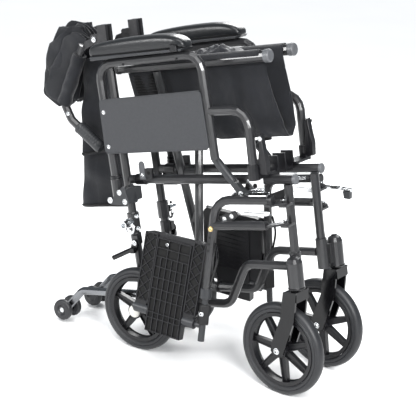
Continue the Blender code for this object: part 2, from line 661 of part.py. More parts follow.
def build_footplate(side, centre, along):
    """The footplate turned up on its shaft, with the underside facing out."""
    straight_up = Vector((math.sin(PLATE_PITCH), 0, math.cos(PLATE_PITCH)))
    inward = Vector((0, -1, 0))
    upward = straight_up * math.cos(PLATE_TILT) + inward * math.sin(PLATE_TILT)
    outward = straight_up * math.sin(PLATE_TILT) - inward * math.cos(PLATE_TILT)

    def slab(outline, low, high):
        corners = [centre + along * h + upward * v + outward * low for h, v in outline]
        return extruded(corners, outward * (high - low))

    wings = rounded_outline([(-0.0800, 0.0130), (0.0775, 0.0130), (0.0730, 0.1735), (-0.0765, 0.1690)], 0.012)
    plate = slab(wings, -0.0060, 0.0065)
    heel = slab([(-0.0440, -0.0430), (0.0440, -0.0430), (0.0440, 0.1600), (-0.0440, 0.1600)], -0.0085, 0.0085)
    sleeve_low = rod(centre - along * 0.0800, centre - along * 0.0420, 0.0110)
    sleeve_high = rod(centre + along * 0.0420, centre + along * 0.0720, 0.0110)
    lug_low = slab([(-0.0780, 0.0000), (-0.0500, 0.0000), (-0.0500, 0.0200), (-0.0780, 0.0200)], -0.0050, 0.0080)
    lug_high = slab([(0.0400, 0.0000), (0.0700, 0.0000), (0.0700, 0.0200), (0.0400, 0.0200)], -0.0050, 0.0080)
    bore = rod(centre - along * 0.0900, centre + along * 0.1000, SHAFT_RADIUS + PIN_CLEARANCE)
    make(side_name("footplate", side), "black_plastic", side, centre, plate,
         [heel, sleeve_low, sleeve_high, lug_low, lug_high], [bore])


def build_cane(side):
    """A backrest cane folded down behind the post, and its push grip."""
    run = [CANE_END, CANE_LOW, CANE_BEND, CANE_TIP]
    cane = tube([at(point, FRAME_OUT) for point in run], TUBE_RADIUS, 0.020)
    outline = rounded_outline([(-0.1960, 0.7520), (-0.1960, 0.7650), (-0.2300, 0.7560), (-0.2480, 0.7350),
                               (-0.2420, 0.7320), (-0.2280, 0.7400)], 0.002, 2)
    ear = side_plate(outline, FRAME_OUT - 0.0034, FRAME_OUT + 0.0034)
    bore = cross_rod(CANE_PIVOT, FRAME_OUT - 0.0060, FRAME_OUT + 0.0060, 0.0034, 12)
    make(side_name("back_cane", side), "frame_paint", side, at(CANE_PIVOT, FRAME_OUT), cane, [ear], [bore])

    start = at(GRIP_START, FRAME_OUT)
    tip = at(GRIP_TIP, FRAME_OUT)
    along = (tip - start).normalized()
    length = (tip - start).length
    profile = [(TUBE_RADIUS + 0.0006, 0), (0.0122, 0), (GRIP_RADIUS, 0.004), (GRIP_RADIUS, length - 0.006),
               (0.0090, length), (0, length), (0, length - 0.0120), (TUBE_RADIUS + 0.0006, length - 0.0120)]
    make(side_name("push_grip", side), "grey_plastic", side, at(CANE_PIVOT, FRAME_OUT),
         turned(profile, start, along))


def build_wheel_lock_lever(side):
    """The hand lever of the wheel lock: a flat foot and a long round grip."""
    knee = Vector((0.1250, LOCK_OUT, 0.4500))
    tip = Vector((0.0830, LOCK_OUT, 0.5040))
    grip = rod(knee, tip, 0.0078, 14)
    outline = [(0.1490, 0.4200), (0.1530, 0.4290), (0.1470, 0.4350), (0.1340, 0.4500), (0.1240, 0.4570),
               (0.1200, 0.4480), (0.1350, 0.4290), (0.1400, 0.4200)]
    foot = side_plate(outline, 0.0760, 0.0920)
    bore = cross_rod(LOCK_PIVOT, 0.0700, 0.0960, 0.0036, 12)
    make(side_name("wheel_lock_lever", side), "grey_plastic", side, at(LOCK_PIVOT, LOCK_OUT), foot, [grip], [bore])


def build_rear_brake(side):
    """The small parking-brake lever above the rear wheel."""
    outline = [(-0.1500, 0.3180), (-0.1580, 0.3180), (-0.1640, 0.3060), (-0.1680, 0.2920), (-0.1600, 0.2880),
               (-0.1500, 0.2960), (-0.1470, 0.3080)]
    cam = side_plate(outline, 0.0732, 0.0772)
    handle = rod((-0.1580, 0.0790, 0.2990), (-0.2100, 0.0860, 0.2790), 0.0055, 12)
    pad = block((-0.1630, 0.0740, 0.2900), (-0.1530, 0.0850, 0.3010))
    make(side_name("rear_brake_lever", side), "black_paint", side, (REAR_BRAKE_PIVOT[0], 0.0750, REAR_BRAKE_PIVOT[1]),
         cam, [handle, pad])


def build_antitipper(side):
    """The anti-tip arm behind the rear post and its pair of small wheels."""
    start_x = rear_post_x(ANTITIP_HEIGHT) - TUBE_RADIUS - 0.0010
    run = [(start_x, ANTITIP_HEIGHT), (-0.3350, ANTITIP_HEIGHT), ANTITIP_AXLE]
    arm = tube([at(point, FRAME_OUT) for point in run], 0.0090, 0.025)
    barrel = cross_rod(ANTITIP_AXLE, FRAME_OUT - 0.0090, FRAME_OUT + 0.0090, 0.0105)
    bore = cross_rod(ANTITIP_AXLE, FRAME_OUT - 0.0120, FRAME_OUT + 0.0120, 0.0056)
    make(side_name("antitip_arm", side), "chrome", side, at((start_x, ANTITIP_HEIGHT), FRAME_OUT), arm,
         [barrel], [bore])

    wheel = ANTITIP_WHEEL_RADIUS
    profile = [(0, -0.0240), (wheel - 0.003, -0.0240), (wheel, -0.0210), (wheel, -0.0130), (wheel - 0.003, -0.0100),
               (0.0050, -0.0100), (0.0050, 0.0100), (wheel - 0.003, 0.0100), (wheel, 0.0130), (wheel, 0.0210),
               (wheel - 0.003, 0.0240), (0, 0.0240)]
    centre = at(ANTITIP_AXLE, FRAME_OUT)
    make(side_name("antitip_wheels", side), "grey_tyre", side, centre, turned(profile, centre, (0, 1, 0), 20))


def build_back_upholstery():
    """The folded back upholstery between the canes, and the pocket panel below it."""
    outline = [(-0.2450, 0.7700), (-0.3300, 0.7800), (-0.3900, 0.7250), (-0.4050, 0.6650), (-0.3700, 0.6250),
               (-0.3300, 0.6400), (-0.2900, 0.6900)]
    make("back_upholstery", "nylon_fabric", RIGHT, at(CANE_PIVOT, 0), side_plate(outline, 0.0040, 0.0380))
    outline = [(-0.1820, 0.6050), (-0.2600, 0.6050), (-0.3300, 0.5300), (-0.3400, 0.3800), (-0.2050, 0.3740)]
    make("back_pocket", "nylon_fabric", RIGHT, at((-0.1820, 0.6050), 0), side_plate(outline, 0.0020, 0.0120))


def build_chair():
    """Build every piece of the chair."""
    clear_scene()
    for side in (RIGHT, LEFT):
        build_side_frame(side)
        build_frame_fittings(side)
        build_caster(side)
        build_rear_wheel(side)
        build_brace(side)
        build_seat_rail(side)
        build_seat_fabric(side)
        build_armrest(side)
        build_hanger(side)
        build_cane(side)
        build_wheel_lock_lever(side)
        build_rear_brake(side)
        build_antitipper(side)
    build_back_upholstery()


build_chair()
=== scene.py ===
"""Looks of the folded wheelchair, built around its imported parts.

Pieces are laid out in the chair's own frame, in metres: X forward, "out" the distance outboard
from the middle plane, Z up along the front posts. PLACE leans them back with the chair.
"""
import json
import math

import bmesh
import bpy
from mathutils import Matrix, Vector, noise


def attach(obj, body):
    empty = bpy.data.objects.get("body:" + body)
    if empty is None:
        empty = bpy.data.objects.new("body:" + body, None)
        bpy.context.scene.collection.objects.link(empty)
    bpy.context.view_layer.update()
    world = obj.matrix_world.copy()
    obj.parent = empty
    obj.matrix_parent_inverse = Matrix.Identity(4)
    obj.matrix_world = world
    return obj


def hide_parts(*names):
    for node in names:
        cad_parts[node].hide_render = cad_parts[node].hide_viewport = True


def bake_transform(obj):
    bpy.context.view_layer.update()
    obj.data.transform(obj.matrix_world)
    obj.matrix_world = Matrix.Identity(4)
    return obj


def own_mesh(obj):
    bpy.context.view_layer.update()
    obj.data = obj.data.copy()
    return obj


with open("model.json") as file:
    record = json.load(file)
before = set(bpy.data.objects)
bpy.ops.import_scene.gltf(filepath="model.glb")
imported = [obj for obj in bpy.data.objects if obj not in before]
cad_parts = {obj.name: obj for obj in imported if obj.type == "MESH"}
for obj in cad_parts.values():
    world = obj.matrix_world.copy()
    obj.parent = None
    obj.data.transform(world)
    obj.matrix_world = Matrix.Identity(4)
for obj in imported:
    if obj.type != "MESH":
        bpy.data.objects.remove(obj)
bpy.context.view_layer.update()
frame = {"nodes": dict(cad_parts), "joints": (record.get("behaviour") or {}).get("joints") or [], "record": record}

# Sides
RIGHT = -1
LEFT = 1
TAGS = {RIGHT: "r", LEFT: "l"}
WORDS = {RIGHT: "right", LEFT: "left"}

# Driving dimensions of the chair
FRAME_OUT = 0.0567
TUBE_RADIUS = 0.0095
TOP_RAIL = ((-0.1553, 0.4507), (0.2526, 0.4507))
CANE_PIVOT = (-0.2026, 0.7584)
CANE_LINE = ((-0.2400, 0.7470), (-0.3135, 0.6230))
GRIP_LINE = ((-0.2810, 0.5690), (-0.2260, 0.5195))
SEAT_RAIL_OUT = 0.0500
SEAT_RAIL_RADIUS = 0.0125
SEAT_RAIL_FRONT = (0.2189, 0.7006)
SEAT_RAIL_REAR = (-0.1600, 0.6921)
ARM_OUT = 0.1070
HANGER_OUT = 0.1050
HANGER_ELBOW = (0.0900, 0.4175)
HANGER_END = (0.0540, 0.1330, 0.2120)
PLATE_CENTRE = (-0.0450, 0.1400, 0.1740)
PLATE_PITCH = math.radians(12.0)
PLATE_TILT = math.radians(10.0)
CASTER_STEM = (0.2497, 0.0889)
CASTER_TRAIL = 0.0520
CASTER_TURN = {RIGHT: 0.120, LEFT: -0.105}
FRONT_WHEEL_RADIUS = 0.1000
REAR_AXLE = (-0.1570, 0.1643)
REAR_WHEEL_OUT = 0.0815
REAR_WHEEL_RADIUS = 0.0939
ANTITIP_AXLE = (-0.3870, 0.1455)
ANTITIP_WHEEL_RADIUS = 0.0245
TYRE_HALF_WIDTH = 0.0125
FRONT_TYRE_BED = 0.0800
REAR_TYRE_BED = 0.0745
REAR_SPOKE_TURN = 0.15

# Camera and light
FLOOR_REACH = 8
CAMERA_PLACE = (1.4261, -2.2419, 1.1607)
CAMERA_TARGET = (0.0533, -0.0038, 0.3319)
CAMERA_ROLL = math.radians(3.157)
CAMERA_LENS = 110.45


def joint_named(name):
    """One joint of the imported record."""
    return next(joint for joint in frame["joints"] if joint["name"] == name)


SWIVEL_AXIS = Vector(joint_named("right_caster_swivel")["axis"])
LEAN = math.atan2(-SWIVEL_AXIS.x, SWIVEL_AXIS.z)
TURN = Matrix.Rotation(-LEAN, 4, "Y")
PIVOT_IN_CHAIR = Vector((CANE_PIVOT[0], FRAME_OUT, CANE_PIVOT[1]))
PLACE = Matrix.Translation(Vector(joint_named("left_cane_fold")["pos_m"]) - TURN @ PIVOT_IN_CHAIR) @ TURN


# Materials

def add_node(tree, kind, **values):
    """A shader node with its inputs set."""
    node = tree.nodes.new(kind)
    for name, value in values.items():
        node.inputs[name.replace("_", " ")].default_value = value
    return node


def finish(name, colour, roughness, metallic=0.0, vary=0.12, patch=45.0, grain=900.0, bump=0.08, coat=0.0,
           sheen=0.0, weave=0.0, streak=False, shine=0.35):
    """A material with patches of colour and gloss, a fine grain and, for cloth, a weave."""
    made = bpy.data.materials.new(name)
    made.use_nodes = True
    tree = made.node_tree
    shader = tree.nodes["Principled BSDF"]
    shader.inputs["Metallic"].default_value = metallic
    shader.inputs["Specular IOR Level"].default_value = 0.12 if weave else shine
    shader.inputs["Coat Weight"].default_value = coat
    shader.inputs["Coat Roughness"].default_value = 0.12
    shader.inputs["Sheen Weight"].default_value = sheen
    place = add_node(tree, "ShaderNodeTexCoord")
    stretch = add_node(tree, "ShaderNodeMapping", Scale=(0.25, 1.0, 1.0) if streak else (1.0, 1.0, 1.0))
    tree.links.new(place.outputs["Object"], stretch.inputs["Vector"])

    patches = add_node(tree, "ShaderNodeTexNoise", Scale=patch, Detail=5.0, Roughness=0.6)
    tree.links.new(stretch.outputs["Vector"], patches.inputs["Vector"])
    ramp = add_node(tree, "ShaderNodeValToRGB")
    ramp.color_ramp.elements[0].position = 0.30
    ramp.color_ramp.elements[0].color = (*[channel * (1 - vary) for channel in colour], 1)
    ramp.color_ramp.elements[1].position = 0.72
    ramp.color_ramp.elements[1].color = (*[min(1.0, channel * (1 + vary)) for channel in colour], 1)
    tree.links.new(patches.outputs["Fac"], ramp.inputs["Fac"])
    tree.links.new(ramp.outputs["Color"], shader.inputs["Base Color"])

    gloss = add_node(tree, "ShaderNodeMapRange")
    gloss.inputs["To Min"].default_value = max(0.03, roughness - 0.07)
    gloss.inputs["To Max"].default_value = min(1.0, roughness + 0.09)
    tree.links.new(patches.outputs["Fac"], gloss.inputs["Value"])
    tree.links.new(gloss.outputs["Result"], shader.inputs["Roughness"])

    fine = add_node(tree, "ShaderNodeTexNoise", Scale=grain, Detail=3.0)
    tree.links.new(stretch.outputs["Vector"], fine.inputs["Vector"])
    height = fine.outputs["Fac"]
    if weave:
        for direction in ("X", "Z"):
            thread = add_node(tree, "ShaderNodeTexWave", Scale=weave, Distortion=0.4)
            thread.bands_direction = direction
            tree.links.new(place.outputs["Object"], thread.inputs["Vector"])
            joined = tree.nodes.new("ShaderNodeMath")
            joined.operation = "ADD"
            tree.links.new(height, joined.inputs[0])
            tree.links.new(thread.outputs["Fac"], joined.inputs[1])
            height = joined.outputs["Value"]
    relief = add_node(tree, "ShaderNodeBump", Strength=bump, Distance=0.0006)
    tree.links.new(height, relief.inputs["Height"])
    tree.links.new(relief.outputs["Normal"], shader.inputs["Normal"])
    return made


LOOKS = {
    "frame_paint": finish("frame_paint_look", (0.0161, 0.0161, 0.0174), 0.30, 0.0, 0.12, bump=0.05,
                          coat=0.35),
    "brace_paint": finish("brace_paint_look", (0.0223, 0.0229, 0.0242), 0.30, 0.0, 0.12, bump=0.05,
                          coat=0.35),
    "black_paint": finish("black_paint_look", (0.0030, 0.0030, 0.0036), 0.10, 0.0, 0.20, bump=0.02, coat=0.15,
                          shine=0.30),
    "chrome": finish("chrome_look", (0.72, 0.73, 0.74), 0.14, 1.0, 0.06, 120.0, bump=0.03, streak=True),
    "grey_tyre": finish("tyre_look", (0.0161, 0.0167, 0.0186), 0.42, 0.0, 0.12, 60.0, 1400.0, 0.22),
    "grey_plastic": finish("grey_plastic_look", (0.0223, 0.0236, 0.0260), 0.38, 0.0, 0.12, 60.0, 1200.0,
                           0.12),
    "black_plastic": finish("black_plastic_look", (0.0062, 0.0062, 0.0074), 0.34, 0.0, 0.20, 60.0, 1100.0,
                            0.14),
    "panel_plastic": finish("panel_look", (0.0273, 0.0285, 0.0316), 0.46, 0.0, 0.14, 220.0, 1500.0, 0.45),
    "arm_vinyl": finish("arm_vinyl_look", (0.0074, 0.0081, 0.0093), 0.30, 0.0, 0.16, 70.0, 800.0, 0.22,
                        sheen=0.05),
    "nylon_fabric": finish("nylon_look", (0.0074, 0.0081, 0.0105), 0.50, 0.0, 0.25, 25.0, 1000.0, 0.40,
                           sheen=0.15, weave=420.0),
}
# A lighter copy of the seat nylon with a little more sheen, for the crumpled top layer: its lighter colour is a
# painted highlight where the hump catches the light.
LIT_SEAT_NYLON = finish("lit_seat_nylon_look", (0.0105, 0.0112, 0.0143), 0.40, 0.0, 0.25, 28.0, 900.0, 0.35,
                     sheen=0.20, weave=420.0)
WEBBING = finish("webbing_look", (0.0037, 0.0037, 0.0043), 0.70, 0.0, 0.25, 80.0, 900.0, 0.60, sheen=0.1,
                 weave=300.0)
RUBBER = finish("rubber_look", (0.0050, 0.0050, 0.0056), 0.60, 0.0, 0.20, 60.0, 1200.0, 0.30)
CREAM = finish("hub_cap_look", (0.60, 0.59, 0.55), 0.34, 0.0, 0.03, 60.0, 1200.0, 0.05)
PALE_PLASTIC = finish("pale_plastic_look", (0.085, 0.088, 0.094), 0.36, 0.0, 0.10, 60.0, 1200.0, 0.10)
BRASS = finish("brass_look", (0.62, 0.46, 0.22), 0.24, 1.0, 0.10, 200.0, bump=0.05)
STEEL = finish("steel_look", (0.62, 0.63, 0.64), 0.22, 1.0, 0.12, 160.0, bump=0.06)
SATIN_STEEL = finish("satin_steel_look", (0.200, 0.205, 0.215), 0.24, 1.0, 0.10, 120.0, bump=0.04,
                     streak=True)
# Near-black matte colour of painted shade: flat discs, strips and sheets of it stand for the shade inside holes,
# slots and cells.
HOLE_SHADE = finish("painted_hole_shade_look", (0.003, 0.003, 0.003), 0.85, 0.0, 0.20)


# Mesh helpers

def spot(x, out, z, side):
    """A point in the chair's frame on one side."""
    return Vector((x, side * out, z))


def piece(name, solid, look, body, smooth=38.0, bevel=0.0):
    """Turn a bmesh laid out in the chair's frame into a piece that rides on a body."""
    bmesh.ops.recalc_face_normals(solid, faces=solid.faces)
    mesh = bpy.data.meshes.new(name)
    solid.to_mesh(mesh)
    solid.free()
    mesh.transform(PLACE)
    mesh.materials.append(look)
    mesh.polygons.foreach_set("use_smooth", [True] * len(mesh.polygons))
    mesh.set_sharp_from_angle(angle=math.radians(smooth))
    made = bpy.data.objects.new(name, mesh)
    bpy.context.scene.collection.objects.link(made)
    if bevel:
        rounding = made.modifiers.new("rounding", "BEVEL")
        rounding.width = bevel
        rounding.segments = 2
    if body:
        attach(made, body)
    return made


def skin(solid, rings, closed=True, capped=True):
    """Faces between rings of points, added to a solid."""
    loops = [[solid.verts.new(point) for point in ring] for ring in rings]
    count = len(rings[0])
    for lower, upper in zip(loops, loops[1:]):
        for index in range(count if closed else count - 1):
            following = (index + 1) % count
            solid.faces.new((lower[index], lower[following], upper[following], upper[index]))
    if capped:
        solid.faces.new(reversed(loops[0]))
        solid.faces.new(loops[-1])


def turned(solid, profile, centre, axis, segments=24):
    """A body of revolution from a closed outline of (radius, distance along the axis)."""
    axis = Vector(axis).normalized()
    across = axis.orthogonal().normalized()
    upward = axis.cross(across)
    rings = []
    for step in range(segments):
        angle = 2 * math.pi * step / segments
        spoke = across * math.cos(angle) + upward * math.sin(angle)
        rings.append([Vector(centre) + axis * along + spoke * max(radius, 0.00001)
                      for radius, along in profile])
    skin(solid, rings + rings[:1], True, False)
    bmesh.ops.remove_doubles(solid, verts=solid.verts, dist=0.00003)


def smooth_path(points, steps=8):
    """A rounded path through points."""
    points = [Vector(point) for point in points]
    padded = [points[0] * 2 - points[1]] + points + [points[-1] * 2 - points[-2]]
    path = []
    for before, start, end, after in zip(padded, padded[1:], padded[2:], padded[3:]):
        for step in range(steps):
            t = step / steps
            path.append(0.5 * (start * 2 + (end - before) * t
                               + (before * 2 - start * 5 + end * 4 - after) * t * t
                               + (start * 3 - before - end * 3 + after) * t * t * t))
    path.append(points[-1])
    return path


def swept(solid, path, section):
    """A bar along a path, from a section of (sideways, upward) offsets."""
    rings = []
    across = (path[1] - path[0]).orthogonal().normalized()
    for index, point in enumerate(path):
        ahead = (path[min(index + 1, len(path) - 1)] - path[max(index - 1, 0)]).normalized()
        across = (across - ahead * across.dot(ahead)).normalized()
        upward = ahead.cross(across)
        rings.append([point + across * a + upward * b for a, b in section])
    skin(solid, rings)


def circle(radius, sides=14):
    """A round section."""
    return [(radius * math.cos(2 * math.pi * i / sides), radius * math.sin(2 * math.pi * i / sides))
            for i in range(sides)]


def tube(name, points, radius, look, body, steps=8):
    """A round tube on a smooth path."""
    solid = bmesh.new()
    swept(solid, smooth_path(points, steps), circle(radius))
    return piece(name, solid, look, body)


def bolt(name, centre, axis, radius, tall, look, body, socket=True):
    """A domed bolt head on a washer, with a socket in its middle."""
    solid = bmesh.new()
    profile = [(0, -0.0004), (radius * 1.35, -0.0004), (radius * 1.35, tall * 0.22), (radius, tall * 0.26),
               (radius, tall * 0.70), (radius * 0.80, tall * 0.94), (radius * 0.45, tall)]
    if socket:
        profile += [(radius * 0.38, tall * 0.98), (radius * 0.38, tall * 0.45), (0, tall * 0.45)]
    else:
        profile += [(0, tall * 1.04)]
    turned(solid, profile, centre, axis, 16)
    return piece(name, solid, look, body)


def ring(name, start, end, inner, outer, look, body, lip=0.0010):
    """A collar, cap or sleeve between two points, open where inner is above zero."""
    start = Vector(start)
    span = Vector(end) - start
    tall = span.length
    profile = [(inner, 0), (outer - lip, 0), (outer, lip), (outer, tall - lip), (outer - lip, tall),
               (inner, tall)]
    solid = bmesh.new()
    turned(solid, profile, start, span, 28)
    return piece(name, solid, look, body)


def plate(name, outline, out_low, out_high, side, look, body, bevel=0.0008):
    """A plate parallel with the side frame, from (x, z) corners."""
    solid = bmesh.new()
    skin(solid, [[spot(x, out, z, side) for x, z in outline] for out in (out_low, out_high)])
    return piece(name, solid, look, body, bevel=bevel)


def box(name, low, high, side, look, body, bevel=0.0012):
    """A rounded block between two (x, out, z) corners."""
    outline = [(low[0], low[2]), (high[0], low[2]), (high[0], high[2]), (low[0], high[2])]
    return plate(name, outline, low[1], high[1], side, look, body, bevel)


def surface(name, place_of, rows, columns, look, body, thickness=0.0014):
    """A sheet over a grid: place_of(u, v) gives a point for u along and v across, both 0 to 1."""
    solid = bmesh.new()
    rings = []
    for row in range(rows + 1):
        rings.append([place_of(row / rows, column / columns) for column in range(columns + 1)])
    skin(solid, rings, False, False)
    made = piece(name, solid, look, body, 60.0)
    cloth = made.modifiers.new("cloth thickness", "SOLIDIFY")
    cloth.thickness = thickness
    cloth.offset = 0.0
    return made


def crease(point, size, scale, seed):
    """A soft wrinkle height at a point."""
    return size * noise.noise(Vector(point) * scale + Vector((seed, seed * 1.7, seed * 0.3)))


def use_better_materials():
    """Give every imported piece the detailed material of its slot, and the anti-tip arms a duller metal."""
    for row in frame["record"]["subparts"]:
        thing = frame["nodes"][row["node"]]
        for slot in thing.material_slots:
            slot.material = LOOKS[row["material_slot"]]
            if row["node"].startswith("antitip_arm"):
                slot.material = SATIN_STEEL


# Wheels

def tread_profile(radius, bed, half, lip):
    """The closed outline of a solid tyre with a crowned tread and a fine groove on each wall."""
    profile = [(bed, -0.80 * half), (bed + 0.003, -half)]
    line = bed + 0.38 * (radius - bed)
    profile += [(line, -half), (line + 0.0008, -half + lip), (line + 0.0016, -half)]
    steps = 12
    crown = 0.46 * (radius - bed)
    for step in range(steps + 1):
        angle = math.pi * step / steps
        profile.append((radius - crown + crown * math.sin(angle), -half * math.cos(angle)))
    profile += [(line + 0.0016, half), (line + 0.0008, half - lip), (line, half)]
    profile += [(bed + 0.003, half), (bed, 0.80 * half)]
    return profile


def spoke(solid, centre, axis, along, inner, outer, wide, narrow, thick):
    """A spoke with two raised edges and a sunk middle."""
    across = along.cross(axis)
    edge = 0.0018
    deep = thick * 0.34
    rings = []
    for reach, width in ((inner, wide), (outer, narrow)):
        half = width / 2
        section = [(-half, -thick / 2), (half, -thick / 2), (half, thick / 2), (half - edge, thick / 2),
                   (half - edge, thick / 2 - deep), (-half + edge, thick / 2 - deep),
                   (-half + edge, thick / 2), (-half, thick / 2)]
        rings.append([centre + along * reach + across * a + axis * b for a, b in section])
    skin(solid, rings)


def build_wheel(tag, side, centre, axis, radius, bed, half, hub, count, body, turn=0.5):
    """A tyre and a spoked rim, in place of the plain ones."""
    solid = bmesh.new()
    turned(solid, tread_profile(radius, bed, half, 0.0010), centre, axis, 96)
    tyre = piece(f"{tag}_tyre_detail", solid, LOOKS["grey_tyre"], body)
    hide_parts(f"{tag}_tyre_{TAGS[side]}")
    solid = bmesh.new()
    low, high, hub_radius = hub
    band = [(bed - 0.0095, -0.0100), (bed - 0.0008, -0.0112), (bed - 0.0008, 0.0112), (bed - 0.0095, 0.0100),
            (bed - 0.0065, 0.0070), (bed - 0.0065, -0.0070)]
    turned(solid, band, centre, axis, 72)
    barrel = [(0, low), (hub_radius, low), (hub_radius, high - 0.002), (hub_radius - 0.002, high), (0, high)]
    turned(solid, barrel, centre, axis, 32)
    upright = Vector((0, 0, 1))
    forward = upright.cross(axis)
    for index in range(count):
        angle = 2 * math.pi * (index + turn) / count
        along = upright * math.cos(angle) + forward * math.sin(angle)
        spoke(solid, centre, axis, along, 0.010, bed - 0.0060, 0.0170, 0.0118, 0.0120)
    rim = piece(f"{tag}_rim_detail", solid, LOOKS["black_plastic"], body, bevel=0.0006)
    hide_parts(f"{tag}_rim_{TAGS[side]}")
    tyre.name = f"{tag}_tyre_detail_{TAGS[side]}"
    rim.name = f"{tag}_rim_detail_{TAGS[side]}"


def build_wheels(side):
    """Front wheel, rear wheel and anti-tip wheels of one side."""
    turn = Matrix.Rotation(CASTER_TURN[side] * side, 3, "Z")
    stem = Vector((CASTER_STEM[0], side * CASTER_STEM[1], 0))
    axle = stem + turn @ Vector((-CASTER_TRAIL, 0, 0))
    axle.z = FRONT_WHEEL_RADIUS
    axis = turn @ Vector((0, side, 0))
    word = WORDS[side]
    hub = (-0.0160, 0.0160, 0.0165)
    build_wheel("front", side, axle, axis, FRONT_WHEEL_RADIUS, FRONT_TYRE_BED, TYRE_HALF_WIDTH, hub, 7,
                f"{word}_front_wheel")
    for facing in (1, -1):
        start = axle + axis * facing * 0.0222
        bolt(f"caster_bolt_{TAGS[side]}_{facing + 1}", start, axis * facing, 0.0052, 0.0045, STEEL,
             f"{word}_caster")

    centre = spot(REAR_AXLE[0], REAR_WHEEL_OUT, REAR_AXLE[1], side)
    axis = Vector((0, side, 0))
    hub = (FRAME_OUT + TUBE_RADIUS + 0.0010 - REAR_WHEEL_OUT, 0.0190, 0.0150)
    build_wheel("rear", side, centre, axis, REAR_WHEEL_RADIUS, REAR_TYRE_BED, TYRE_HALF_WIDTH, hub, 5,
                f"{word}_rear_wheel", REAR_SPOKE_TURN)
    ring(f"hub_collar_{TAGS[side]}", centre + axis * 0.0150, centre + axis * 0.0225, 0.004, 0.0172,
         LOOKS["black_plastic"], f"{word}_rear_wheel")
    solid = bmesh.new()
    cap = [(0, 0.0200), (0.0138, 0.0200), (0.0138, 0.0240), (0.0125, 0.0262), (0.0085, 0.0278), (0, 0.0284)]
    turned(solid, cap, centre, axis, 40)
    piece(f"hub_cap_{TAGS[side]}", solid, CREAM, f"{word}_rear_wheel")

    centre = spot(ANTITIP_AXLE[0], FRAME_OUT, ANTITIP_AXLE[1], side)
    for low, high in ((-0.0240, -0.0100), (0.0100, 0.0240)):
        solid = bmesh.new()
        middle = (low + high) / 2
        half = (high - low) / 2
        wheel = ANTITIP_WHEEL_RADIUS
        profile = [(0, low + 0.003), (0.010, low + 0.003), (0.0125, low), (wheel - 0.004, low)]
        for step in range(7):
            angle = math.pi * step / 6
            profile.append((wheel - 0.004 + 0.004 * math.sin(angle), middle - half * math.cos(angle)))
        profile += [(0.0125, high), (0.010, high - 0.003), (0, high - 0.003)]
        turned(solid, profile, centre, axis, 40)
        name = f"antitip_wheel_{TAGS[side]}_{'inner' if low < 0 else 'outer'}"
        made = piece(name, solid, LOOKS["grey_tyre"], f"{word}_antitip_wheels")
        if low < 0:
            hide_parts(f"antitip_wheels_{TAGS[side]}")
    bolt(f"antitip_bolt_{TAGS[side]}", centre + axis * 0.0212, axis, 0.0042, 0.0026, STEEL,
         f"{word}_antitip_wheels")


# Armrests

def build_arm_pad(side):
    """A crowned vinyl pad on a flat grey base, with a dark end block and two screws."""
    tag = TAGS[side]
    body = f"{WORDS[side]}_armrest"
    stations = [(-0.1742, 0.7290, 0.7370, 0.50), (-0.1725, 0.7255, 0.7470, 0.80),
                (-0.1600, 0.7250, 0.7545, 0.97), (-0.1000, 0.7265, 0.7608, 1.00),
                (-0.0400, 0.7285, 0.7640, 1.00), (0.0150, 0.7305, 0.7645, 0.99),
                (0.0480, 0.7315, 0.7590, 0.94), (0.0640, 0.7320, 0.7500, 0.80),
                (0.0690, 0.7330, 0.7410, 0.50)]
    rings = []
    for x, low, high, share in stations:
        half = 0.0240 * share
        tall = high - low
        section = []
        for step in range(20):
            angle = 2 * math.pi * step / 20
            across = math.copysign(abs(math.cos(angle)) ** 0.55, math.cos(angle)) * half
            rise = math.copysign(abs(math.sin(angle)) ** 0.70, math.sin(angle)) * tall / 2
            section.append(spot(x, ARM_OUT + across, low + tall / 2 + rise, side))
        rings.append(section)
    solid = bmesh.new()
    skin(solid, rings)
    pad = piece(f"arm_pad_vinyl_{tag}", solid, LOOKS["arm_vinyl"], body, 60.0)
    rounding = pad.modifiers.new("rounding", "SUBSURF")
    rounding.levels = 2
    rounding.render_levels = 2
    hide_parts(f"arm_pad_{tag}")

    base = [(-0.1690, 0.7185), (-0.0800, 0.7225), (0.0600, 0.7272), (0.0660, 0.7330), (-0.0800, 0.7290),
            (-0.1700, 0.7270)]
    plate(f"arm_pad_base_{tag}", base, ARM_OUT - 0.0225, ARM_OUT + 0.0225, side, LOOKS["grey_plastic"], body,
          0.0015)
    end = [(0.0380, 0.7270), (0.0560, 0.7275), (0.0540, 0.7400), (0.0400, 0.7430)]
    plate(f"arm_pad_end_{tag}", end, ARM_OUT + 0.0180, ARM_OUT + 0.0262, side, LOOKS["black_plastic"], body)
    for number, x in enumerate((-0.0950, 0.0400)):
        height = 0.7075 + 0.0375 * (x + 0.1655)
        centre = spot(x, ARM_OUT + 0.0088, height - 0.0040, side)
        bolt(f"arm_pad_screw_{tag}_{number}", centre, (0, side, -0.3), 0.0020, 0.0016, LOOKS["black_plastic"],
             body)


def build_side_panel_trim(side):
    """The rivets and the two folded edges of the clothes guard."""
    tag = TAGS[side]
    body = f"{WORDS[side]}_armrest"
    for number, (x, z) in enumerate(((-0.1590, 0.6080), (-0.1570, 0.5340))):
        bolt(f"panel_rivet_{tag}_{number}", spot(x, 0.1192, z, side), (0, side, 0), 0.0034, 0.0022, STEEL,
             body, False)
    edge = [(-0.1640, 0.5190), (0.0930, 0.5243), (0.0930, 0.5263), (-0.1640, 0.5210)]
    plate(f"panel_hem_{tag}", edge, 0.1188, 0.1202, side, LOOKS["panel_plastic"], body, 0.0004)
    edge = [(-0.1640, 0.6326), (0.0885, 0.6440), (0.0885, 0.6460), (-0.1640, 0.6346)]
    plate(f"panel_top_hem_{tag}", edge, 0.1188, 0.1202, side, LOOKS["panel_plastic"], body, 0.0004)


# Seat

def rail_height(x):
    """The height of a seat rail's middle."""
    share = (x - SEAT_RAIL_REAR[0]) / (SEAT_RAIL_FRONT[0] - SEAT_RAIL_REAR[0])
    return SEAT_RAIL_REAR[1] + share * (SEAT_RAIL_FRONT[1] - SEAT_RAIL_REAR[1])


